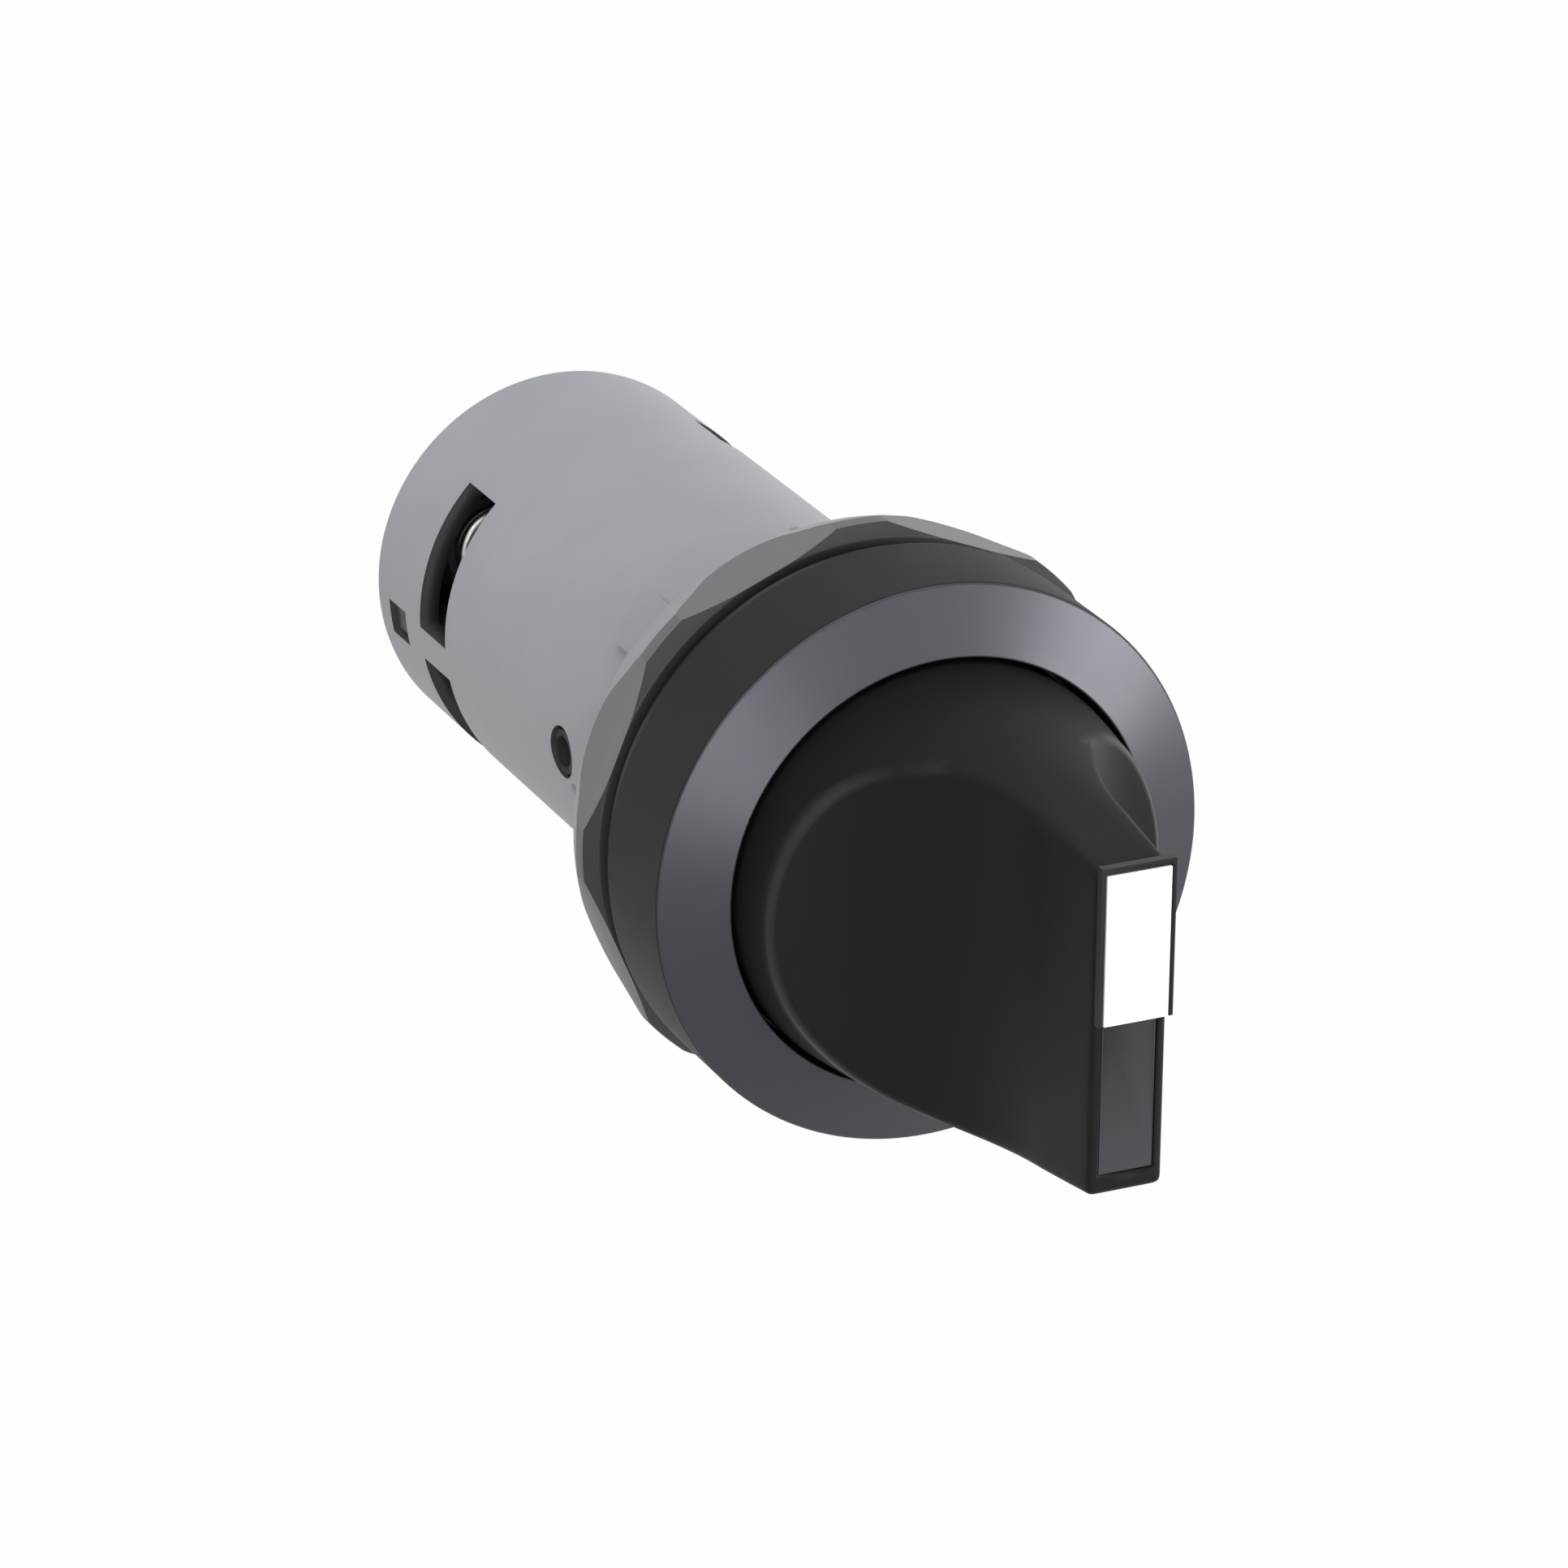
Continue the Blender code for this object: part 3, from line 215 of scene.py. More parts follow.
def turned(outline, steps=160, across=0.0, up=0.0):
    """An outline of (radius, y, rounding) corners, rounded there and spun about a line along Y."""
    shape = bmesh.new()
    corners = [shape.verts.new((radius, y, 0.0)) for radius, y, _ in outline]
    shape.faces.new(corners)
    for corner, (_, _, rounding) in zip(corners, outline):
        if rounding:
            bmesh.ops.bevel(
                shape,
                geom=[corner],
                offset=rounding,
                offset_type="OFFSET",
                segments=4,
                affect="VERTICES",
                profile=0.5,
                material=-1,
            )
    bmesh.ops.delete(shape, geom=shape.faces[:], context="FACES_ONLY")
    core = [edge for edge in shape.edges if max(v.co.x for v in edge.verts) < 1e-6]
    bmesh.ops.delete(shape, geom=core, context="EDGES")
    bmesh.ops.spin(
        shape,
        geom=shape.edges[:],
        cent=(0.0, 0.0, 0.0),
        axis=(0.0, 1.0, 0.0),
        angle=2 * math.pi,
        steps=steps,
        use_merge=True,
        use_duplicate=False,
    )
    bmesh.ops.remove_doubles(shape, verts=shape.verts, dist=1e-4)
    bmesh.ops.recalc_face_normals(shape, faces=shape.faces)
    bmesh.ops.translate(shape, vec=(across, 0.0, up), verts=shape.verts)
    return shape


def slab(x, y, z):
    """A box between pairs of limits along each axis."""
    shape = bmesh.new()
    bmesh.ops.create_cube(shape, size=1.0)
    limits = (x, y, z)
    bmesh.ops.scale(shape, vec=[high - low for low, high in limits], verts=shape.verts)
    middle = [(high + low) / 2 for low, high in limits]
    bmesh.ops.translate(shape, vec=middle, verts=shape.verts)
    return shape


def spoke(radius, inner, outer, angle, y, steps=40):
    """A round peg that points away from the switch's axis, at an angle from the top to the right."""
    shape = bmesh.new()
    bmesh.ops.create_cone(
        shape,
        cap_ends=True,
        segments=steps,
        radius1=radius,
        radius2=radius,
        depth=outer - inner,
    )
    bmesh.ops.translate(shape, vec=(0.0, y, (inner + outer) / 2), verts=shape.verts)
    around = Matrix.Rotation(math.radians(angle), 3, "Y")
    bmesh.ops.rotate(shape, cent=(0.0, 0.0, 0.0), matrix=around, verts=shape.verts)
    return shape


def arc_bar(inner, outer, y, angles, steps=24):
    """A bar of rectangular section that is swept round the switch's axis between two angles."""
    shape = bmesh.new()
    low, high = angles
    start = Matrix.Rotation(math.radians(low), 3, "Y")
    corners = [(inner, y[0]), (outer, y[0]), (outer, y[1]), (inner, y[1])]
    face = shape.faces.new(
        [shape.verts.new(start @ Vector((0.0, along, out))) for out, along in corners]
    )
    bmesh.ops.spin(
        shape,
        geom=[face],
        cent=(0.0, 0.0, 0.0),
        axis=(0.0, 1.0, 0.0),
        angle=math.radians(high - low),
        steps=steps,
        use_merge=False,
        use_duplicate=False,
    )
    bmesh.ops.recalc_face_normals(shape, faces=shape.faces)
    return shape


def in_place(name, shape, works=False):
    """The shape as an object in metres, turned with the housing's works where it belongs to them."""
    if works:
        around = Matrix.Rotation(TURN_OF_WORKS, 3, "Y")
        bmesh.ops.rotate(shape, cent=(0.0, 0.0, 0.0), matrix=around, verts=shape.verts)
    bmesh.ops.scale(shape, vec=(MM, MM, MM), verts=shape.verts)
    mesh = bpy.data.meshes.new(name)
    shape.to_mesh(mesh)
    shape.free()
    mesh.shade_smooth()
    mesh.set_sharp_from_angle(angle=math.radians(35))
    piece = bpy.data.objects.new(name, mesh)
    bpy.context.scene.collection.objects.link(piece)
    return piece


def joined_by(piece, shapes, operation, works=False):
    """The piece with other shapes added to it or cut from it, as one plain mesh."""
    tools = []
    for number, shape in enumerate(shapes):
        tool = in_place(f"{piece.name}_tool_{number}", shape, works)
        tools.append(tool)
        step = piece.modifiers.new(tool.name, "BOOLEAN")
        step.operation = operation
        step.solver = "EXACT"
        step.object = tool
    bpy.context.view_layer.update()
    evaluated = piece.evaluated_get(bpy.context.evaluated_depsgraph_get())
    mesh = bpy.data.meshes.new_from_object(evaluated)
    piece.modifiers.clear()
    old = piece.data
    piece.data = mesh
    mesh.name = piece.name
    bpy.data.meshes.remove(old)
    for tool in tools:
        bpy.data.meshes.remove(tool.data)
    return piece


def sharp_edges_rounded(shape, width, angle=35.0, segments=3):
    """Rounds every edge of a shape whose faces turn by more than the angle."""
    sharp = [
        edge
        for edge in shape.edges
        if len(edge.link_faces) == 2 and edge.calc_face_angle() > math.radians(angle)
    ]
    bmesh.ops.bevel(
        shape,
        geom=sharp,
        offset=width,
        offset_type="OFFSET",
        segments=segments,
        affect="EDGES",
        profile=0.5,
        clamp_overlap=False,
        material=-1,
    )
    return shape


def shaded_as_turned(piece, shortest=0.7, core=2.0, widest=6.0, slant=0.03):
    """Gives the narrow, straight faces that lie round the switch's axis the shading of a true cone."""
    mesh = piece.data
    normals = [(0.0, 0.0, 0.0)] * len(mesh.loops)
    for face in mesh.polygons:
        points = [mesh.vertices[index].co for index in face.vertices]
        if max(p.y for p in points) - min(p.y for p in points) < shortest * MM:
            continue
        if min(math.hypot(p.x, p.z) for p in points) < core * MM:
            continue
        out = Vector((face.center.x, 0.0, face.center.z)).normalized()
        turns = [abs(math.degrees(out.angle(Vector((p.x, 0.0, p.z))))) for p in points]
        side = out.cross(Vector((0.0, 1.0, 0.0)))
        if 2 * max(turns) > widest or abs(face.normal.dot(side)) > slant:
            continue
        rise, tilt = face.normal.dot(out), face.normal.y
        for loop, point in zip(face.loop_indices, points):
            spoke_way = Vector((point.x, 0.0, point.z)).normalized()
            normals[loop] = (rise * spoke_way + Vector((0.0, tilt, 0.0))).normalized()
    mesh.normals_split_custom_set(normals)


def moulded_plastic(name, colour, roughness, grain, grain_size=0.16, sheen=0.0, gloss_level=0.5):
    """A moulded plastic: spark-eroded grain, faint flow clouds in its colour and in its gloss."""
    material = bpy.data.materials.new(name)
    material.use_nodes = True
    nodes, links = material.node_tree.nodes, material.node_tree.links
    shader = nodes["Principled BSDF"]
    shader.inputs["IOR"].default_value = 1.52
    shader.inputs["Specular IOR Level"].default_value = gloss_level
    shader.inputs["Sheen Weight"].default_value = sheen
    place = nodes.new("ShaderNodeTexCoord")
    clouds = nodes.new("ShaderNodeTexNoise")
    clouds.inputs["Scale"].default_value = 210.0
    clouds.inputs["Detail"].default_value = 4.0
    clouds.inputs["Roughness"].default_value = 0.55
    tint = nodes.new("ShaderNodeValToRGB")
    tint.color_ramp.elements[0].position = 0.3
    tint.color_ramp.elements[0].color = (*[0.96 * part for part in colour], 1.0)
    tint.color_ramp.elements[1].position = 0.7
    tint.color_ramp.elements[1].color = (*[min(1.0, 1.04 * part) for part in colour], 1.0)
    gloss = nodes.new("ShaderNodeMapRange")
    gloss.inputs["To Min"].default_value = roughness - 0.05
    gloss.inputs["To Max"].default_value = roughness + 0.05
    pits = nodes.new("ShaderNodeTexNoise")
    pits.inputs["Scale"].default_value = 1.0 / (grain_size * MM)
    pits.inputs["Detail"].default_value = 2.0
    relief = nodes.new("ShaderNodeBump")
    relief.inputs["Strength"].default_value = 1.0
    relief.inputs["Distance"].default_value = grain * MM
    links.new(place.outputs["Object"], clouds.inputs["Vector"])
    links.new(place.outputs["Object"], pits.inputs["Vector"])
    links.new(clouds.outputs["Fac"], tint.inputs["Fac"])
    links.new(tint.outputs["Color"], shader.inputs["Base Color"])
    links.new(clouds.outputs["Fac"], gloss.inputs["Value"])
    links.new(gloss.outputs["Result"], shader.inputs["Roughness"])
    links.new(pits.outputs["Fac"], relief.inputs["Height"])
    links.new(relief.outputs["Normal"], shader.inputs["Normal"])
    return material


bezel = in_place("bezel_moulding", turned(BEZEL_OUTLINE), works=True)
boss_radius, boss_root, boss_reach, boss_y, boss_angle = SNAP_BOSS
hollow_radius, hollow_root, hollow_end = PEG_HOLLOW
stop_inner, stop_outer, stop_front, stop_rear, stop_span = SPRING_STOP
bezel_extras = [
    spoke(boss_radius, boss_root, boss_reach, boss_angle + half, boss_y) for half in (0.0, 180.0)
]
stop_angles = (180.0 - stop_span / 2, 180.0 + stop_span / 2)
bezel_extras.append(arc_bar(stop_inner, stop_outer, (stop_front, stop_rear), stop_angles, 4))
joined_by(bezel, bezel_extras, "UNION", works=True)
peg_hollows = [
    spoke(hollow_radius, hollow_root, hollow_end, boss_angle + half, boss_y)
    for half in (0.0, 180.0)
]
joined_by(bezel, peg_hollows, "DIFFERENCE", works=True)
shaded_as_turned(bezel)
bezel_plastic = moulded_plastic("satin_black_moulding", BEZEL_BLACK, 0.34, 0.002, gloss_level=0.42)
bezel_shader = bezel_plastic.node_tree.nodes["Principled BSDF"]
bezel_shader.inputs["Specular Tint"].default_value = BEZEL_TINT
bezel.data.materials.append(bezel_plastic)
bezel.data.materials.append(
    moulded_plastic("matt_black_side", BEZEL_SIDE_BLACK, 0.55, 0.004, gloss_level=0.12)
)
for face in bezel.data.polygons:
    reach = math.hypot(face.center.x, face.center.z) / MM
    on_side = reach > SIDE_FROM_RADIUS and face.normal.y > -0.5
    if on_side or face.center.y / MM > REAR_FROM_Y:
        face.material_index = 1
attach(bezel, "switch_body")
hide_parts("bezel")


# The handle: a tapered round knob in matt black, with a hollow swept in from each side so that a
# flat blade is left to turn it by. A socket behind takes the shaft's square, and a groove its marker.
HANDLE_BLACK = (0.0085, 0.0085, 0.0088)
HANDLE_GLOSS = 0.085
RIM_GLOSS, RIM_POLISH = 0.45, -0.2
RIM_REACH, RIM_SEARCH, RIM_FADE = 0.36, 2.5, 4.0
KNOB_FRONT, KNOB_FRONT_RADIUS = -28.4, 8.5
KNOB_CONE_END, KNOB_REAR, KNOB_RADIUS = -8.1, -4.2, 11.0
BLADE_HALF = 1.95
HOLLOW_CENTRE = (13.2, -23.5)
HOLLOW_REACH = (10.95, 12.95)
END_FLAT_RUN = 10.4
HANDLE_ROUNDING = 0.36
RIM_STRIP = 0.9
FRONT_ROWS, ROOT_ROWS, RIM_STEPS, BLADE_COLUMNS = 6, 16, 28, 8
SPLIT_ANGLE = 32.0
SHAFT_SOCKET = ((-3.0, 3.0), (-12.9, -3.2), (-3.0, 3.0))
MARKER_GROOVE = ((-1.5, 1.5), (-29.4, -27.1), (-7.35, 7.6))
SCREW_HOLE = [(0.0, -17.6, 0.0), (0.9, -17.6, 0.0), (0.9, -12.4, 0.0), (0.0, -12.4, 0.0)]


def knob_radius(y):
    """The knob's radius: it widens to the rear as a cone, then stays as it is."""
    share = (y - KNOB_FRONT) / (KNOB_CONE_END - KNOB_FRONT)
    return KNOB_FRONT_RADIUS + (KNOB_RADIUS - KNOB_FRONT_RADIUS) * min(1.0, share)


def hollow_at(turn):
    """Where the hollow's plan is: along the blade's flat side up to turn 0, then round an ellipse."""
    root = HOLLOW_CENTRE[0] - HOLLOW_REACH[0]
    if turn < 0:
        across = root + turn * (root - BLADE_HALF)
        return across, HOLLOW_CENTRE[1] + turn * (HOLLOW_CENTRE[1] - KNOB_FRONT)
    across = HOLLOW_CENTRE[0] - HOLLOW_REACH[0] * math.cos(turn)
    return across, HOLLOW_CENTRE[1] + HOLLOW_REACH[1] * math.sin(turn)


def hollow_turn_at(angle):
    """How far round its ellipse the hollow's edge has come to an angle from the knob's top."""
    low, high = 0.0, math.pi / 2
    for _ in range(50):
        middle = (low + high) / 2
        across, along = hollow_at(middle)
        if across < knob_radius(along) * math.sin(angle):
            low = middle
        else:
            high = middle
    return low


def end_height(across, along):
    """The knob's height over a point, kept under the flat that straightens the blade's end."""
    round_height = math.sqrt(max(0.0, knob_radius(along) ** 2 - across**2))
    low = math.sqrt(KNOB_FRONT_RADIUS**2 - BLADE_HALF**2)
    high = knob_radius(KNOB_FRONT + END_FLAT_RUN)
    return min(round_height, low + (high - low) * (along - KNOB_FRONT) / END_FLAT_RUN)


def faces_between(shape, rows):
    """Fills in the faces between rows of points that have the same count."""
    made = [[shape.verts.new(point) for point in row] for row in rows]
    for row, following in zip(made, made[1:]):
        for item in range(len(row) - 1):
            shape.faces.new([row[item], row[item + 1], following[item + 1], following[item]])


def hollow_wall(turns, rim, side):
    """One hollow's wall: a strip along its edge, then upright faces between the strip's two halves."""
    inner = []
    for item, (turn, (x, y, z)) in enumerate(zip(turns, rim)):
        before, after = rim[max(0, item - 1)], rim[min(len(rim) - 1, item + 1)]
        run = math.dist(before[:2], (x, y)) + math.dist((x, y), after[:2])
        rise = after[2] - before[2]
        slope = math.hypot(run, rise)
        step, drop = RIM_STRIP * rise / slope, RIM_STRIP * run / slope
        if item == 0:
            step, drop = 0.0, RIM_STRIP
        if item == len(rim) - 1:
            step, drop = -RIM_STRIP, 0.0
        ahead = hollow_at(turn + 1e-4)
        pace = math.dist(ahead, hollow_at(turn)) / 1e-4
        across, along = hollow_at(turn + step / pace)
        inner.append((across, along, z - drop))
    for end in (-1, 1):
        rows = [[(side * x, y, end * z) for x, y, z in line] for line in (rim, inner)]
        faces_between(shape, rows)
    faces_between(shape, [[(side * x, y, end * z) for x, y, z in inner] for end in (-1, 1)])


turns = [row / FRONT_ROWS - 1.0 for row in range(FRONT_ROWS)]
split_turn = hollow_turn_at(math.radians(SPLIT_ANGLE))
turns += [split_turn * row / ROOT_ROWS for row in range(ROOT_ROWS)]
split = len(turns)
for step in range(RIM_STEPS + 1):
    angle = SPLIT_ANGLE + (90.0 - SPLIT_ANGLE) * step / RIM_STEPS
    turns.append(hollow_turn_at(math.radians(angle)))
rim = []
for turn in turns:
    x, y = hollow_at(turn)
    rim.append((x, y, end_height(x, y)))
rim[-1] = (knob_radius(rim[-1][1]), rim[-1][1], 0.0)
shape = bmesh.new()
for side in (-1, 1):
    hollow_wall(turns, rim, side)
for end in (-1, 1):
    rows = []
    for x, y, _ in rim[: split + 1]:
        reach = math.asin(x / knob_radius(y))
        angles = [reach * (2.0 * column / BLADE_COLUMNS - 1.0) for column in range(BLADE_COLUMNS + 1)]
        places = [knob_radius(y) * math.sin(angle) for angle in angles]
        rows.append([(across, y, end * end_height(across, y)) for across in places])
    faces_between(shape, rows)
    starts = [(math.asin(min(1.0, x / knob_radius(y))), y) for x, y, _ in rim[split:]]
    middle = [(angle, rim[split][1]) for angle in angles[1:-1]]
    columns = [(-angle, y) for angle, y in reversed(starts)] + middle + starts
    rows = []
    for behind in (0.0, RIM_STRIP, None):
        row = []
        for angle, y in columns:
            along = KNOB_CONE_END if behind is None else y + behind
            reach = knob_radius(along)
            row.append((reach * math.sin(angle), along, end * reach * math.cos(angle)))
        rows.append(row)
    rows.append([(x, KNOB_REAR, z) for x, _, z in rows[-1]])
    faces_between(shape, rows)
bmesh.ops.remove_doubles(shape, verts=shape.verts, dist=1e-3)
open_edges = [edge for edge in shape.edges if len(edge.link_faces) == 1]
bmesh.ops.holes_fill(shape, edges=open_edges, sides=0)
bmesh.ops.recalc_face_normals(shape, faces=shape.faces)
sharp_edges_rounded(shape, HANDLE_ROUNDING, 30.0, 4)
handle = in_place("handle_moulding", shape)
joined_by(
    handle,
    [slab(*SHAFT_SOCKET), turned(SCREW_HOLE, 32), slab(*MARKER_GROOVE)],
    "DIFFERENCE",
)
handle_plastic = moulded_plastic(
    "matt_black_moulding", HANDLE_BLACK, 0.46, 0.003, 0.14, gloss_level=HANDLE_GLOSS
)
handle.data.materials.append(handle_plastic)
# Fingers polish the rim of each hollow, so its gloss rises to the rim's middle line.
rim_line = [Vector(point) for point in rim[split:]]
rim_runs = list(zip(rim_line, rim_line[1:]))
wear = handle.data.attributes.new("rim_wear", "FLOAT", "POINT")
for vertex, mark in zip(handle.data.vertices, wear.data):
    place = Vector((abs(vertex.co.x), vertex.co.y, abs(vertex.co.z))) / MM
    gaps = [
        (place - intersect_point_line(place, near_end, far_end)[0]).length
        for near_end, far_end in rim_runs
        if (place - near_end).length < RIM_SEARCH
    ]
    gap = min(gaps, default=RIM_REACH)
    from_end = (place - rim_line[0]).length
    mark.value = max(0.0, 1.0 - gap / RIM_REACH) * min(1.0, from_end / RIM_FADE)
handle_nodes, handle_links = handle_plastic.node_tree.nodes, handle_plastic.node_tree.links
rim_wear = handle_nodes.new("ShaderNodeAttribute")
rim_wear.attribute_name = "rim_wear"
rim_gloss = handle_nodes.new("ShaderNodeMapRange")
rim_gloss.inputs["To Min"].default_value = HANDLE_GLOSS
rim_gloss.inputs["To Max"].default_value = RIM_GLOSS
handle_shader = handle_nodes["Principled BSDF"]
even_roughness = handle_shader.inputs["Roughness"].links[0].from_socket
polish = handle_nodes.new("ShaderNodeMath")
polish.operation = "MULTIPLY_ADD"
polish.inputs[1].default_value = RIM_POLISH
handle_links.new(rim_wear.outputs["Fac"], rim_gloss.inputs["Value"])
handle_links.new(rim_gloss.outputs["Result"], handle_shader.inputs["Specular IOR Level"])
handle_links.new(rim_wear.outputs["Fac"], polish.inputs[0])
handle_links.new(even_roughness, polish.inputs[2])
handle_links.new(polish.outputs[0], handle_shader.inputs["Roughness"])
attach(handle, "turning_handle")
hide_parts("handle")


# The marker: a dark grey carrier pressed into the groove of the blade's front edge. Its tail is
# sunk in the groove's lower half, and its raised head holds a white inlay that points to the position.
CARRIER_GREY = (0.04, 0.039, 0.046)
CARRIER_RIM_BLACK = (0.012, 0.012, 0.013)
INLAY_WHITE = (0.86, 0.86, 0.86)
CARRIER_HEAD = ((-1.95, 1.95), (-28.95, -28.5), (0.7, 8.75))
CARRIER_NECK = ((-1.3, 1.3), (-28.55, -27.7), (1.0, 7.4))
CARRIER_TAIL = ((-1.4, 1.4), (-28.3, -27.2), (-7.25, 7.5))
INLAY_RECESS = ((-1.75, 1.75), (-29.9, -28.65), (-0.3, 8.43))
INLAY_PLATE = ((-1.69, 1.69), (-29.01, -28.75), (0.7, 8.37))
INLAY_ROUNDING = 0.06
HEAD_REAR, HEAD_BOTTOM = -28.4, -0.4

carrier = in_place("marker_carrier", slab(*CARRIER_HEAD))
joined_by(carrier, [slab(*CARRIER_NECK)], "UNION")
joined_by(carrier, [slab(*CARRIER_TAIL)], "UNION")
joined_by(carrier, [slab(*INLAY_RECESS)], "DIFFERENCE")
carrier_tones = {"dark_grey_moulding": CARRIER_GREY, "black_carrier_rim": CARRIER_RIM_BLACK}
for name, tone in carrier_tones.items():
    carrier.data.materials.append(moulded_plastic(name, tone, 0.5, 0.0025, gloss_level=0.2))
for face in carrier.data.polygons:
    on_head = face.center.y / MM < HEAD_REAR and face.center.z / MM > HEAD_BOTTOM
    if on_head and face.normal.z < 0.5:
        face.material_index = 1
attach(carrier, "turning_handle")
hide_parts("marker_frame")

inlay_shape = sharp_edges_rounded(slab(*INLAY_PLATE), INLAY_ROUNDING)
inlay = in_place("marker_inlay_plate", inlay_shape)
inlay.data.materials.append(moulded_plastic("white_moulding", INLAY_WHITE, 0.4, 0.003))
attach(inlay, "turning_handle")
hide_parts("marker_inlay")


# The seals: a round ring of black rubber in the bezel's floor that wipes the handle's rear face,
# and a flat ring in the bezel's rear that is squeezed against the panel.
RUBBER_BLACK = (0.02, 0.02, 0.021)
WIPER_OUTLINE = [(7.46, -4.04, 0.3), (8.44, -4.04, 0.3), (8.44, -3.06, 0.3), (7.46, -3.06, 0.3)]
GASKET_OUTLINE = [(10.95, -0.5, 0.08), (12.9, -0.5, 0.08), (12.9, 0.4, 0.15), (10.95, 0.4, 0.15)]

rubber = moulded_plastic("black_rubber_sheet", RUBBER_BLACK, 0.78, 0.012, 0.3, sheen=0.15)
handle_ring = in_place("handle_wiper_ring", turned(WIPER_OUTLINE, 96), works=True)
gasket = in_place("panel_gasket_ring", turned(GASKET_OUTLINE), works=True)
for ring, node in ((handle_ring, "handle_seal"), (gasket, "panel_gasket")):
    ring.data.materials.append(rubber)
    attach(ring, "switch_body")
    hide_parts(node)


# The fixing nut: a steep grey cone that runs up the housing's thread from behind the panel. Eight
# small flats are cut across its widest band for a spanner, and a short tongue marks its rear edge.
NUT_GREY = (0.36, 0.374, 0.4)
# The flats, the band by the bezel and the front edge are the nut's own grey plastic; their darker
# tones are painted shade, and the front edge's near black is a painted shadow line.
NUT_FLAT_SHADE_GREY = (0.168, 0.176, 0.18)
NUT_BAND_SHADE_GREY = (0.14, 0.145, 0.155)
NUT_EDGE_SHADOW_GREY = (0.03, 0.031, 0.033)
NUT_OUTLINE = [
    (10.75, 0.65, 0.0),
    (14.58, 0.65, 0.08),
    (15.2, 1.27, 0.1),
    (15.2, 2.17, 0.25),
    (14.81, 3.0, 0.4),
    (14.6, 3.9, 0.5),
    (11.35, 9.6, 0.12),
    (10.75, 9.6, 0.1),
]
NUT_FLATS = 8
NUT_FLAT_DISTANCE = 14.5
NUT_FLAT_ANGLE = -68.0
TONGUE_RADII, TONGUE_Y, TONGUE_ANGLES = (10.75, 11.08), (8.8, 11.9), (-53.8, -37.2)
FLAT_FROM_REACH, FLAT_LEAST_AREA = 14.0, 5e-6
BAND_FROM_REACH, BAND_END_Y, EDGE_END_Y = 14.5, 2.2, 1.26

nut_shape = turned(NUT_OUTLINE, 216)
for flat in range(NUT_FLATS):
    angle = math.radians(NUT_FLAT_ANGLE + 360.0 * flat / NUT_FLATS)
    out = Vector((math.sin(angle), 0.0, math.cos(angle)))
    cut = bmesh.ops.bisect_plane(
        nut_shape,
        geom=nut_shape.verts[:] + nut_shape.edges[:] + nut_shape.faces[:],
        dist=1e-5,
        plane_co=out * NUT_FLAT_DISTANCE,
        plane_no=out,
        clear_outer=True,
    )
    cut_edges = [item for item in cut["geom_cut"] if isinstance(item, bmesh.types.BMEdge)]
    bmesh.ops.edgeloop_fill(nut_shape, edges=cut_edges)
bmesh.ops.recalc_face_normals(nut_shape, faces=nut_shape.faces)
nut = in_place("fixing_nut_moulding", nut_shape)
joined_by(nut, [arc_bar(*TONGUE_RADII, TONGUE_Y, TONGUE_ANGLES, 12)], "UNION")
shaded_as_turned(nut)
nut_tones_and_shades = {
    "nut_moulding": NUT_GREY,
    "nut_flats": NUT_FLAT_SHADE_GREY,
    "nut_band_painted_shade": NUT_BAND_SHADE_GREY,
    "nut_front_edge_painted_shadow": NUT_EDGE_SHADOW_GREY,
}
for name, tone in nut_tones_and_shades.items():
    nut.data.materials.append(moulded_plastic(name, tone, 0.48, 0.0025, gloss_level=0.25))
# Painted shade: the flats, the band next to the bezel and the front edge are coloured darker than the
# nut's grey, for the shade that falls on them there.
for face in nut.data.polygons:
    reach = math.hypot(face.center.x, face.center.z) / MM
    along = face.center.y / MM
    upright = abs(face.normal.y) < 0.01
    if reach > FLAT_FROM_REACH and face.area > FLAT_LEAST_AREA and upright:
        face.material_index = 1
    elif along < EDGE_END_Y:
        face.material_index = 3
    elif reach > BAND_FROM_REACH and along < BAND_END_Y:
        face.material_index = 2
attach(nut, "nut")
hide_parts("fixing_nut")


# The housing: a round grey can that passes through the panel. It has four wire slots and two catch
# windows near its rear, two snap holes near the nut and four holes behind for a screwdriver.
HOUSING_OUTLINE = [
    (10.55, -1.0, 0.0),
    (10.55, 40.65, 0.6),
    (0.0, 40.65, 0.0),
    (0.0, 39.15, 0.0),
    (9.45, 39.15, 0.2),
    (9.45, -1.0, 0.0),
]
SLOT_Y = (30.65, 34.2)
SLOT_ANGLES = (5.0, 51.5)
WINDOW_Y = (36.3, 38.6)
WINDOW_HALF_ANGLE = 5.3
CUT_RADII = (8.45, 11.6)
SNAP_HOLE_RADIUS = 1.4
DRIVER_HOLE_RADIUS, DRIVER_HOLE_Y = 2.2, (38.0, 42.0)
DIMPLE_RADIUS, DIMPLE_FLOOR, DIMPLE_Y = 0.45, 10.32, 13.6
DIMPLE_ANGLES = (-94.5, 18.5)
HOUSING_GREY = (0.375, 0.39, 0.418)
# The walls of the slots and holes and the can's inside are the same grey plastic, coloured near black
# as painted shade.
SLOT_WALL_SHADE_GREY = (0.03, 0.031, 0.034)
TERMINALS = [(x, z) for x in (-5.3, 5.3) for z in (3.9, -3.9)]
FUNNEL = (2.25, 2.75, 35.3, 39.4)
SKIN_REACH, HOLE_WALL_REACH, SHADED_INSIDE_REACH = 10.5, 10.25, 9.4
SLOT_WALLS, HOLE_WALLS = (30.0, 38.7), (13.4, 16.4)
SHADED_INSIDE_END_Y = 39.2

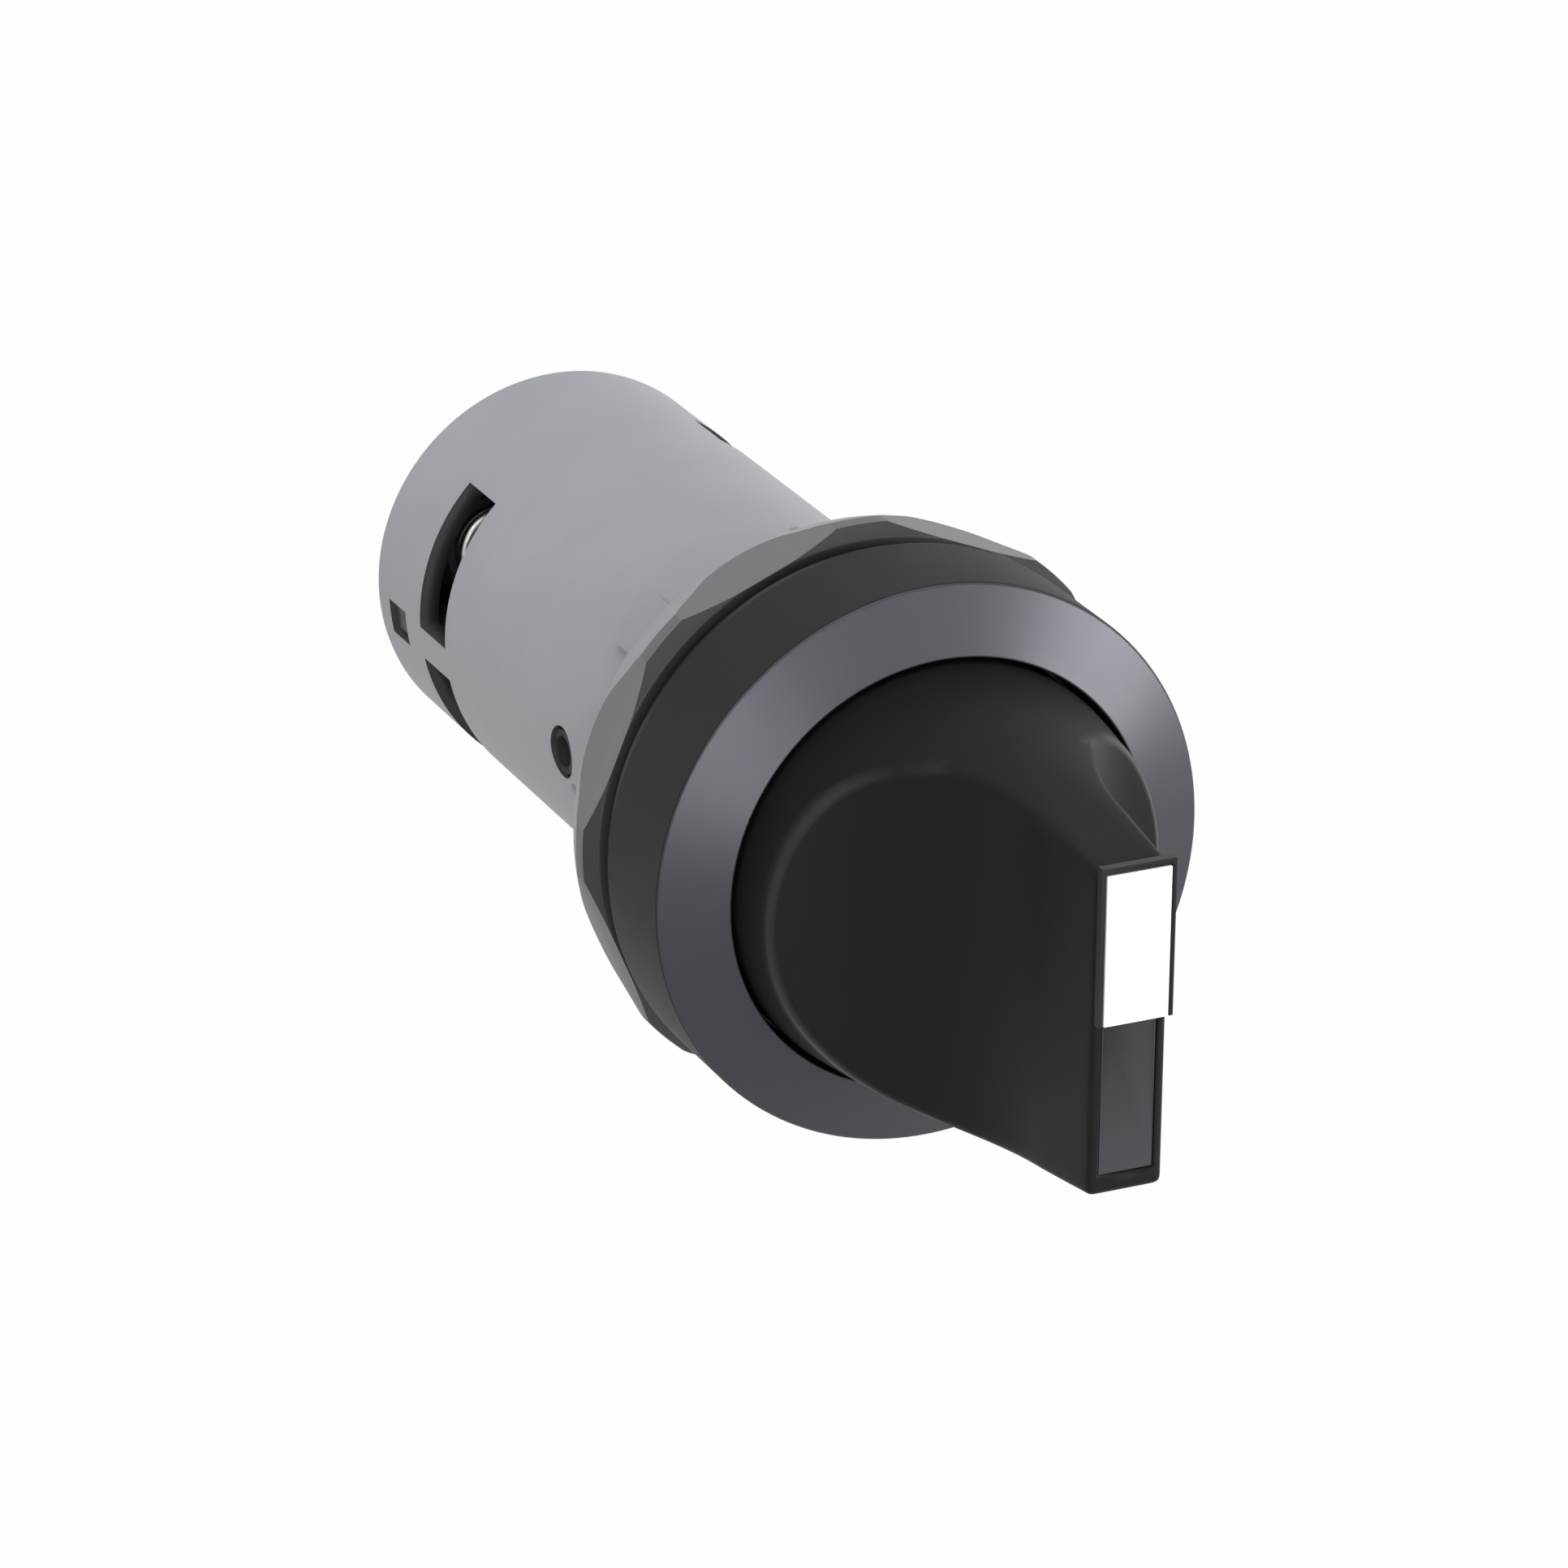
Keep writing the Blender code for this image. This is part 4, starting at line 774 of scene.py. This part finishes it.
housing = in_place("housing_can", turned(HOUSING_OUTLINE), works=True)
openings = []
near, far = SLOT_ANGLES
for side in (-90.0, 90.0):
    openings.append(arc_bar(*CUT_RADII, SLOT_Y, (side + near, side + far)))
    openings.append(arc_bar(*CUT_RADII, SLOT_Y, (side - far, side - near)))
    window = (side - WINDOW_HALF_ANGLE, side + WINDOW_HALF_ANGLE)
    openings.append(arc_bar(*CUT_RADII, WINDOW_Y, window, 6))
for half in (0.0, 180.0):
    openings.append(spoke(SNAP_HOLE_RADIUS, *CUT_RADII, boss_angle + half, boss_y))
driver_hole = [
    (0.0, DRIVER_HOLE_Y[0], 0.0),
    (DRIVER_HOLE_RADIUS, DRIVER_HOLE_Y[0], 0.0),
    (DRIVER_HOLE_RADIUS, DRIVER_HOLE_Y[1], 0.0),
    (0.0, DRIVER_HOLE_Y[1], 0.0),
]
for x, z in TERMINALS:
    openings.append(turned(driver_hole, 48, x, z))
for angle in DIMPLE_ANGLES:
    openings.append(spoke(DIMPLE_RADIUS, DIMPLE_FLOOR, CUT_RADII[1], angle, DIMPLE_Y, 24))
funnel_inner, funnel_outer, funnel_front, funnel_rear = FUNNEL
funnel_outline = [
    (funnel_inner, funnel_front, 0.1),
    (funnel_outer, funnel_front, 0.1),
    (funnel_outer, funnel_rear, 0.0),
    (funnel_inner, funnel_rear, 0.0),
]
funnels = [turned(funnel_outline, 40, x, z) for x, z in TERMINALS]
joined_by(housing, funnels, "UNION", works=True)
joined_by(housing, openings, "DIFFERENCE", works=True)
shaded_as_turned(housing)
housing_plastic = moulded_plastic("grey_moulding", HOUSING_GREY, 0.5, 0.0025, gloss_level=0.3)
slot_shade_plastic = moulded_plastic("painted_shade_slot_wall", SLOT_WALL_SHADE_GREY, 0.6, 0.0025, gloss_level=0.2)
housing.data.materials.append(housing_plastic)
housing.data.materials.append(slot_shade_plastic)
# Painted shade: the walls of the slots and snap holes and everything inside the can take the
# near-black tone, for the shade inside the can.
for face in housing.data.polygons:
    reach, along = math.hypot(face.center.x, face.center.z) / MM, face.center.y / MM
    in_slot = reach < SKIN_REACH and SLOT_WALLS[0] < along < SLOT_WALLS[1]
    in_hole = reach < HOLE_WALL_REACH and HOLE_WALLS[0] < along < HOLE_WALLS[1]
    if along < SHADED_INSIDE_END_Y and (reach < SHADED_INSIDE_REACH or in_slot or in_hole):
        face.material_index = 1
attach(housing, "switch_body")
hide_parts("housing")


# The works inside: the rotor with its index disc and cam, the plungers, contacts, their springs and
# the block that carries them keep the shapes of their solids, and get their finishes here.
NYLON = (0.72, 0.68, 0.58)
BRASS = (0.72, 0.52, 0.22)
STEEL = (0.62, 0.62, 0.6)
SPRING_STEEL = (0.5, 0.5, 0.51)
# The contact block's dark grey is deepened to near black, as painted shade for the inside of the
# housing.
BLOCK_SHADE_GREY = (0.02, 0.021, 0.023)


def worked_metal(name, colour, roughness, streak):
    """Rolled or turned metal: fine streaks along one way, and a little tarnish in clouds."""
    material = bpy.data.materials.new(name)
    material.use_nodes = True
    nodes, links = material.node_tree.nodes, material.node_tree.links
    shader = nodes["Principled BSDF"]
    shader.inputs["Metallic"].default_value = 1.0
    place = nodes.new("ShaderNodeTexCoord")
    stretch = nodes.new("ShaderNodeMapping")
    stretch.inputs["Scale"].default_value = (1.0, 0.08, 1.0)
    streaks = nodes.new("ShaderNodeTexNoise")
    streaks.inputs["Scale"].default_value = 9000.0
    streaks.inputs["Detail"].default_value = 3.0
    clouds = nodes.new("ShaderNodeTexNoise")
    clouds.inputs["Scale"].default_value = 700.0
    clouds.inputs["Detail"].default_value = 4.0
    tint = nodes.new("ShaderNodeValToRGB")
    tint.color_ramp.elements[0].position = 0.32
    tint.color_ramp.elements[0].color = (*[0.82 * part for part in colour], 1.0)
    tint.color_ramp.elements[1].position = 0.66
    tint.color_ramp.elements[1].color = (*colour, 1.0)
    gloss = nodes.new("ShaderNodeMapRange")
    gloss.inputs["To Min"].default_value = roughness - 0.08
    gloss.inputs["To Max"].default_value = roughness + 0.1
    relief = nodes.new("ShaderNodeBump")
    relief.inputs["Strength"].default_value = 1.0
    relief.inputs["Distance"].default_value = streak * MM
    links.new(place.outputs["Object"], stretch.inputs["Vector"])
    links.new(stretch.outputs["Vector"], streaks.inputs["Vector"])
    links.new(place.outputs["Object"], clouds.inputs["Vector"])
    links.new(clouds.outputs["Fac"], tint.inputs["Fac"])
    links.new(tint.outputs["Color"], shader.inputs["Base Color"])
    links.new(clouds.outputs["Fac"], gloss.inputs["Value"])
    links.new(gloss.outputs["Result"], shader.inputs["Roughness"])
    links.new(streaks.outputs["Fac"], relief.inputs["Height"])
    links.new(relief.outputs["Normal"], shader.inputs["Normal"])
    return material


nylon = moulded_plastic("ivory_nylon_moulding", NYLON, 0.45, 0.004)
block_shade_plastic = moulded_plastic("contact_block_painted_shade", BLOCK_SHADE_GREY, 0.5, 0.006)
brass = worked_metal("stamped_brass", BRASS, 0.32, 0.002)
plated_steel = worked_metal("zinc_plated_steel", STEEL, 0.34, 0.003)
spring_wire = worked_metal("bright_spring_steel", SPRING_STEEL, 0.24, 0.001)
finishes = {
    "rotor": nylon,
    "plunger": nylon,
    "contact_block": block_shade_plastic,
    "bridge": brass,
    "fixed_contact": brass,
    "handle_screw": plated_steel,
    "index_spring": spring_wire,
    "contact_spring": spring_wire,
}
for name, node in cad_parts.items():
    for start, finish in finishes.items():
        if name.startswith(start):
            node.data.materials.clear()
            node.data.materials.append(finish)


# The return springs: two coils of bright steel wire between the contact block's bosses and the heads
# of the plungers.
SPRING_WIRE, SPRING_RADIUS = 0.15, 1.0
SPRING_FRONT, SPRING_REAR = 26.65, 34.5
SPRING_TURNS = 7
SPRING_X = 2.6


def coil_spring(turns, steps=26, sides=10):
    """A wire wound along Y, with half a turn laid flat at each end."""
    shape = bmesh.new()
    ring = bmesh.ops.create_circle(shape, segments=sides, radius=SPRING_WIRE)["verts"]
    bmesh.ops.translate(shape, vec=(SPRING_RADIUS, SPRING_FRONT + SPRING_WIRE, 0.0), verts=ring)
    edges = shape.edges[:]
    climb = SPRING_REAR - SPRING_FRONT - 2 * SPRING_WIRE
    for length, rise in ((0.5, 0.0), (turns - 1.0, climb), (0.5, 0.0)):
        count = round(steps * length)
        swept = bmesh.ops.spin(
            shape,
            geom=edges,
            cent=(0.0, 0.0, 0.0),
            axis=(0.0, 1.0, 0.0),
            dvec=(0.0, rise / count, 0.0),
            angle=2 * math.pi * length,
            steps=count,
            use_merge=False,
            use_duplicate=False,
        )
        edges = [item for item in swept["geom_last"] if isinstance(item, bmesh.types.BMEdge)]
    wire_ends = [edge for edge in shape.edges if len(edge.link_faces) == 1]
    bmesh.ops.holes_fill(shape, edges=wire_ends, sides=0)
    bmesh.ops.recalc_face_normals(shape, faces=shape.faces)
    return shape


works_turn = Matrix.Rotation(TURN_OF_WORKS, 3, "Y")
for side, way in (("left", -1), ("right", 1)):
    spring_shape = coil_spring(SPRING_TURNS)
    bmesh.ops.translate(spring_shape, vec=(way * SPRING_X, 0.0, 0.0), verts=spring_shape.verts)
    spring = in_place(f"return_coil_{side}", spring_shape, works=True)
    spring.data.materials.append(spring_wire)
    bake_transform(spring)
    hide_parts(f"return_spring_{side}")


# The terminals: a plated screw with a rounded head and a wide driver slot, and under it a round
# pressed plate with a rolled edge that its shank draws forward, to grip a wire on the fixed contact.
SCREW_HEAD, SCREW_SHANK = 2.0, 1.0
SCREW_HEAD_Y = (35.2, 36.9)
SCREW_SLOT = (0.25, 0.7)
PLATE_RADIUS, PLATE_HOLE, PLATE_EDGE = 2.3, 1.1, 0.36

for number in (1, 2, 3, 4):
    low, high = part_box(f"terminal_screw_{number}")
    middle = works_turn.inverted() @ Vector(((low[0] + high[0]) / 2, 0.0, (low[2] + high[2]) / 2))
    across, up = middle.x / MM, middle.z / MM
    head_front, head_rear = SCREW_HEAD_Y
    screw_outline = [
        (0.0, head_rear, 0.0),
        (SCREW_HEAD, head_rear, 0.3),
        (SCREW_HEAD, head_front, 0.3),
        (SCREW_SHANK, head_front, 0.0),
        (SCREW_SHANK, low[1] / MM, 0.25),
        (0.0, low[1] / MM, 0.0),
    ]
    screw = in_place(f"clamp_screw_{number}", turned(screw_outline, 64, across, up), works=True)
    slot_half, slot_depth = SCREW_SLOT
    driver_slot = slab(
        (across - SCREW_HEAD - 0.2, across + SCREW_HEAD + 0.2),
        (head_rear - slot_depth, head_rear + 0.2),
        (up - slot_half, up + slot_half),
    )
    joined_by(screw, [driver_slot], "DIFFERENCE", works=True)
    plate_low, plate_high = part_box(f"clamp_plate_{number}")
    plate_front, plate_rear = plate_low[1] / MM, plate_high[1] / MM
    plate_outline = [
        (PLATE_HOLE, plate_front, 0.05),
        (PLATE_RADIUS, plate_front, PLATE_EDGE),
        (PLATE_RADIUS, plate_rear, PLATE_EDGE),
        (PLATE_HOLE, plate_rear, 0.05),
    ]
    plate = in_place(f"pressed_plate_{number}", turned(plate_outline, 72, across, up), works=True)
    for piece, node in ((screw, "terminal_screw"), (plate, "clamp_plate")):
        piece.data.materials.append(plated_steel)
        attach(piece, "switch_body")
        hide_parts(f"{node}_{number}")
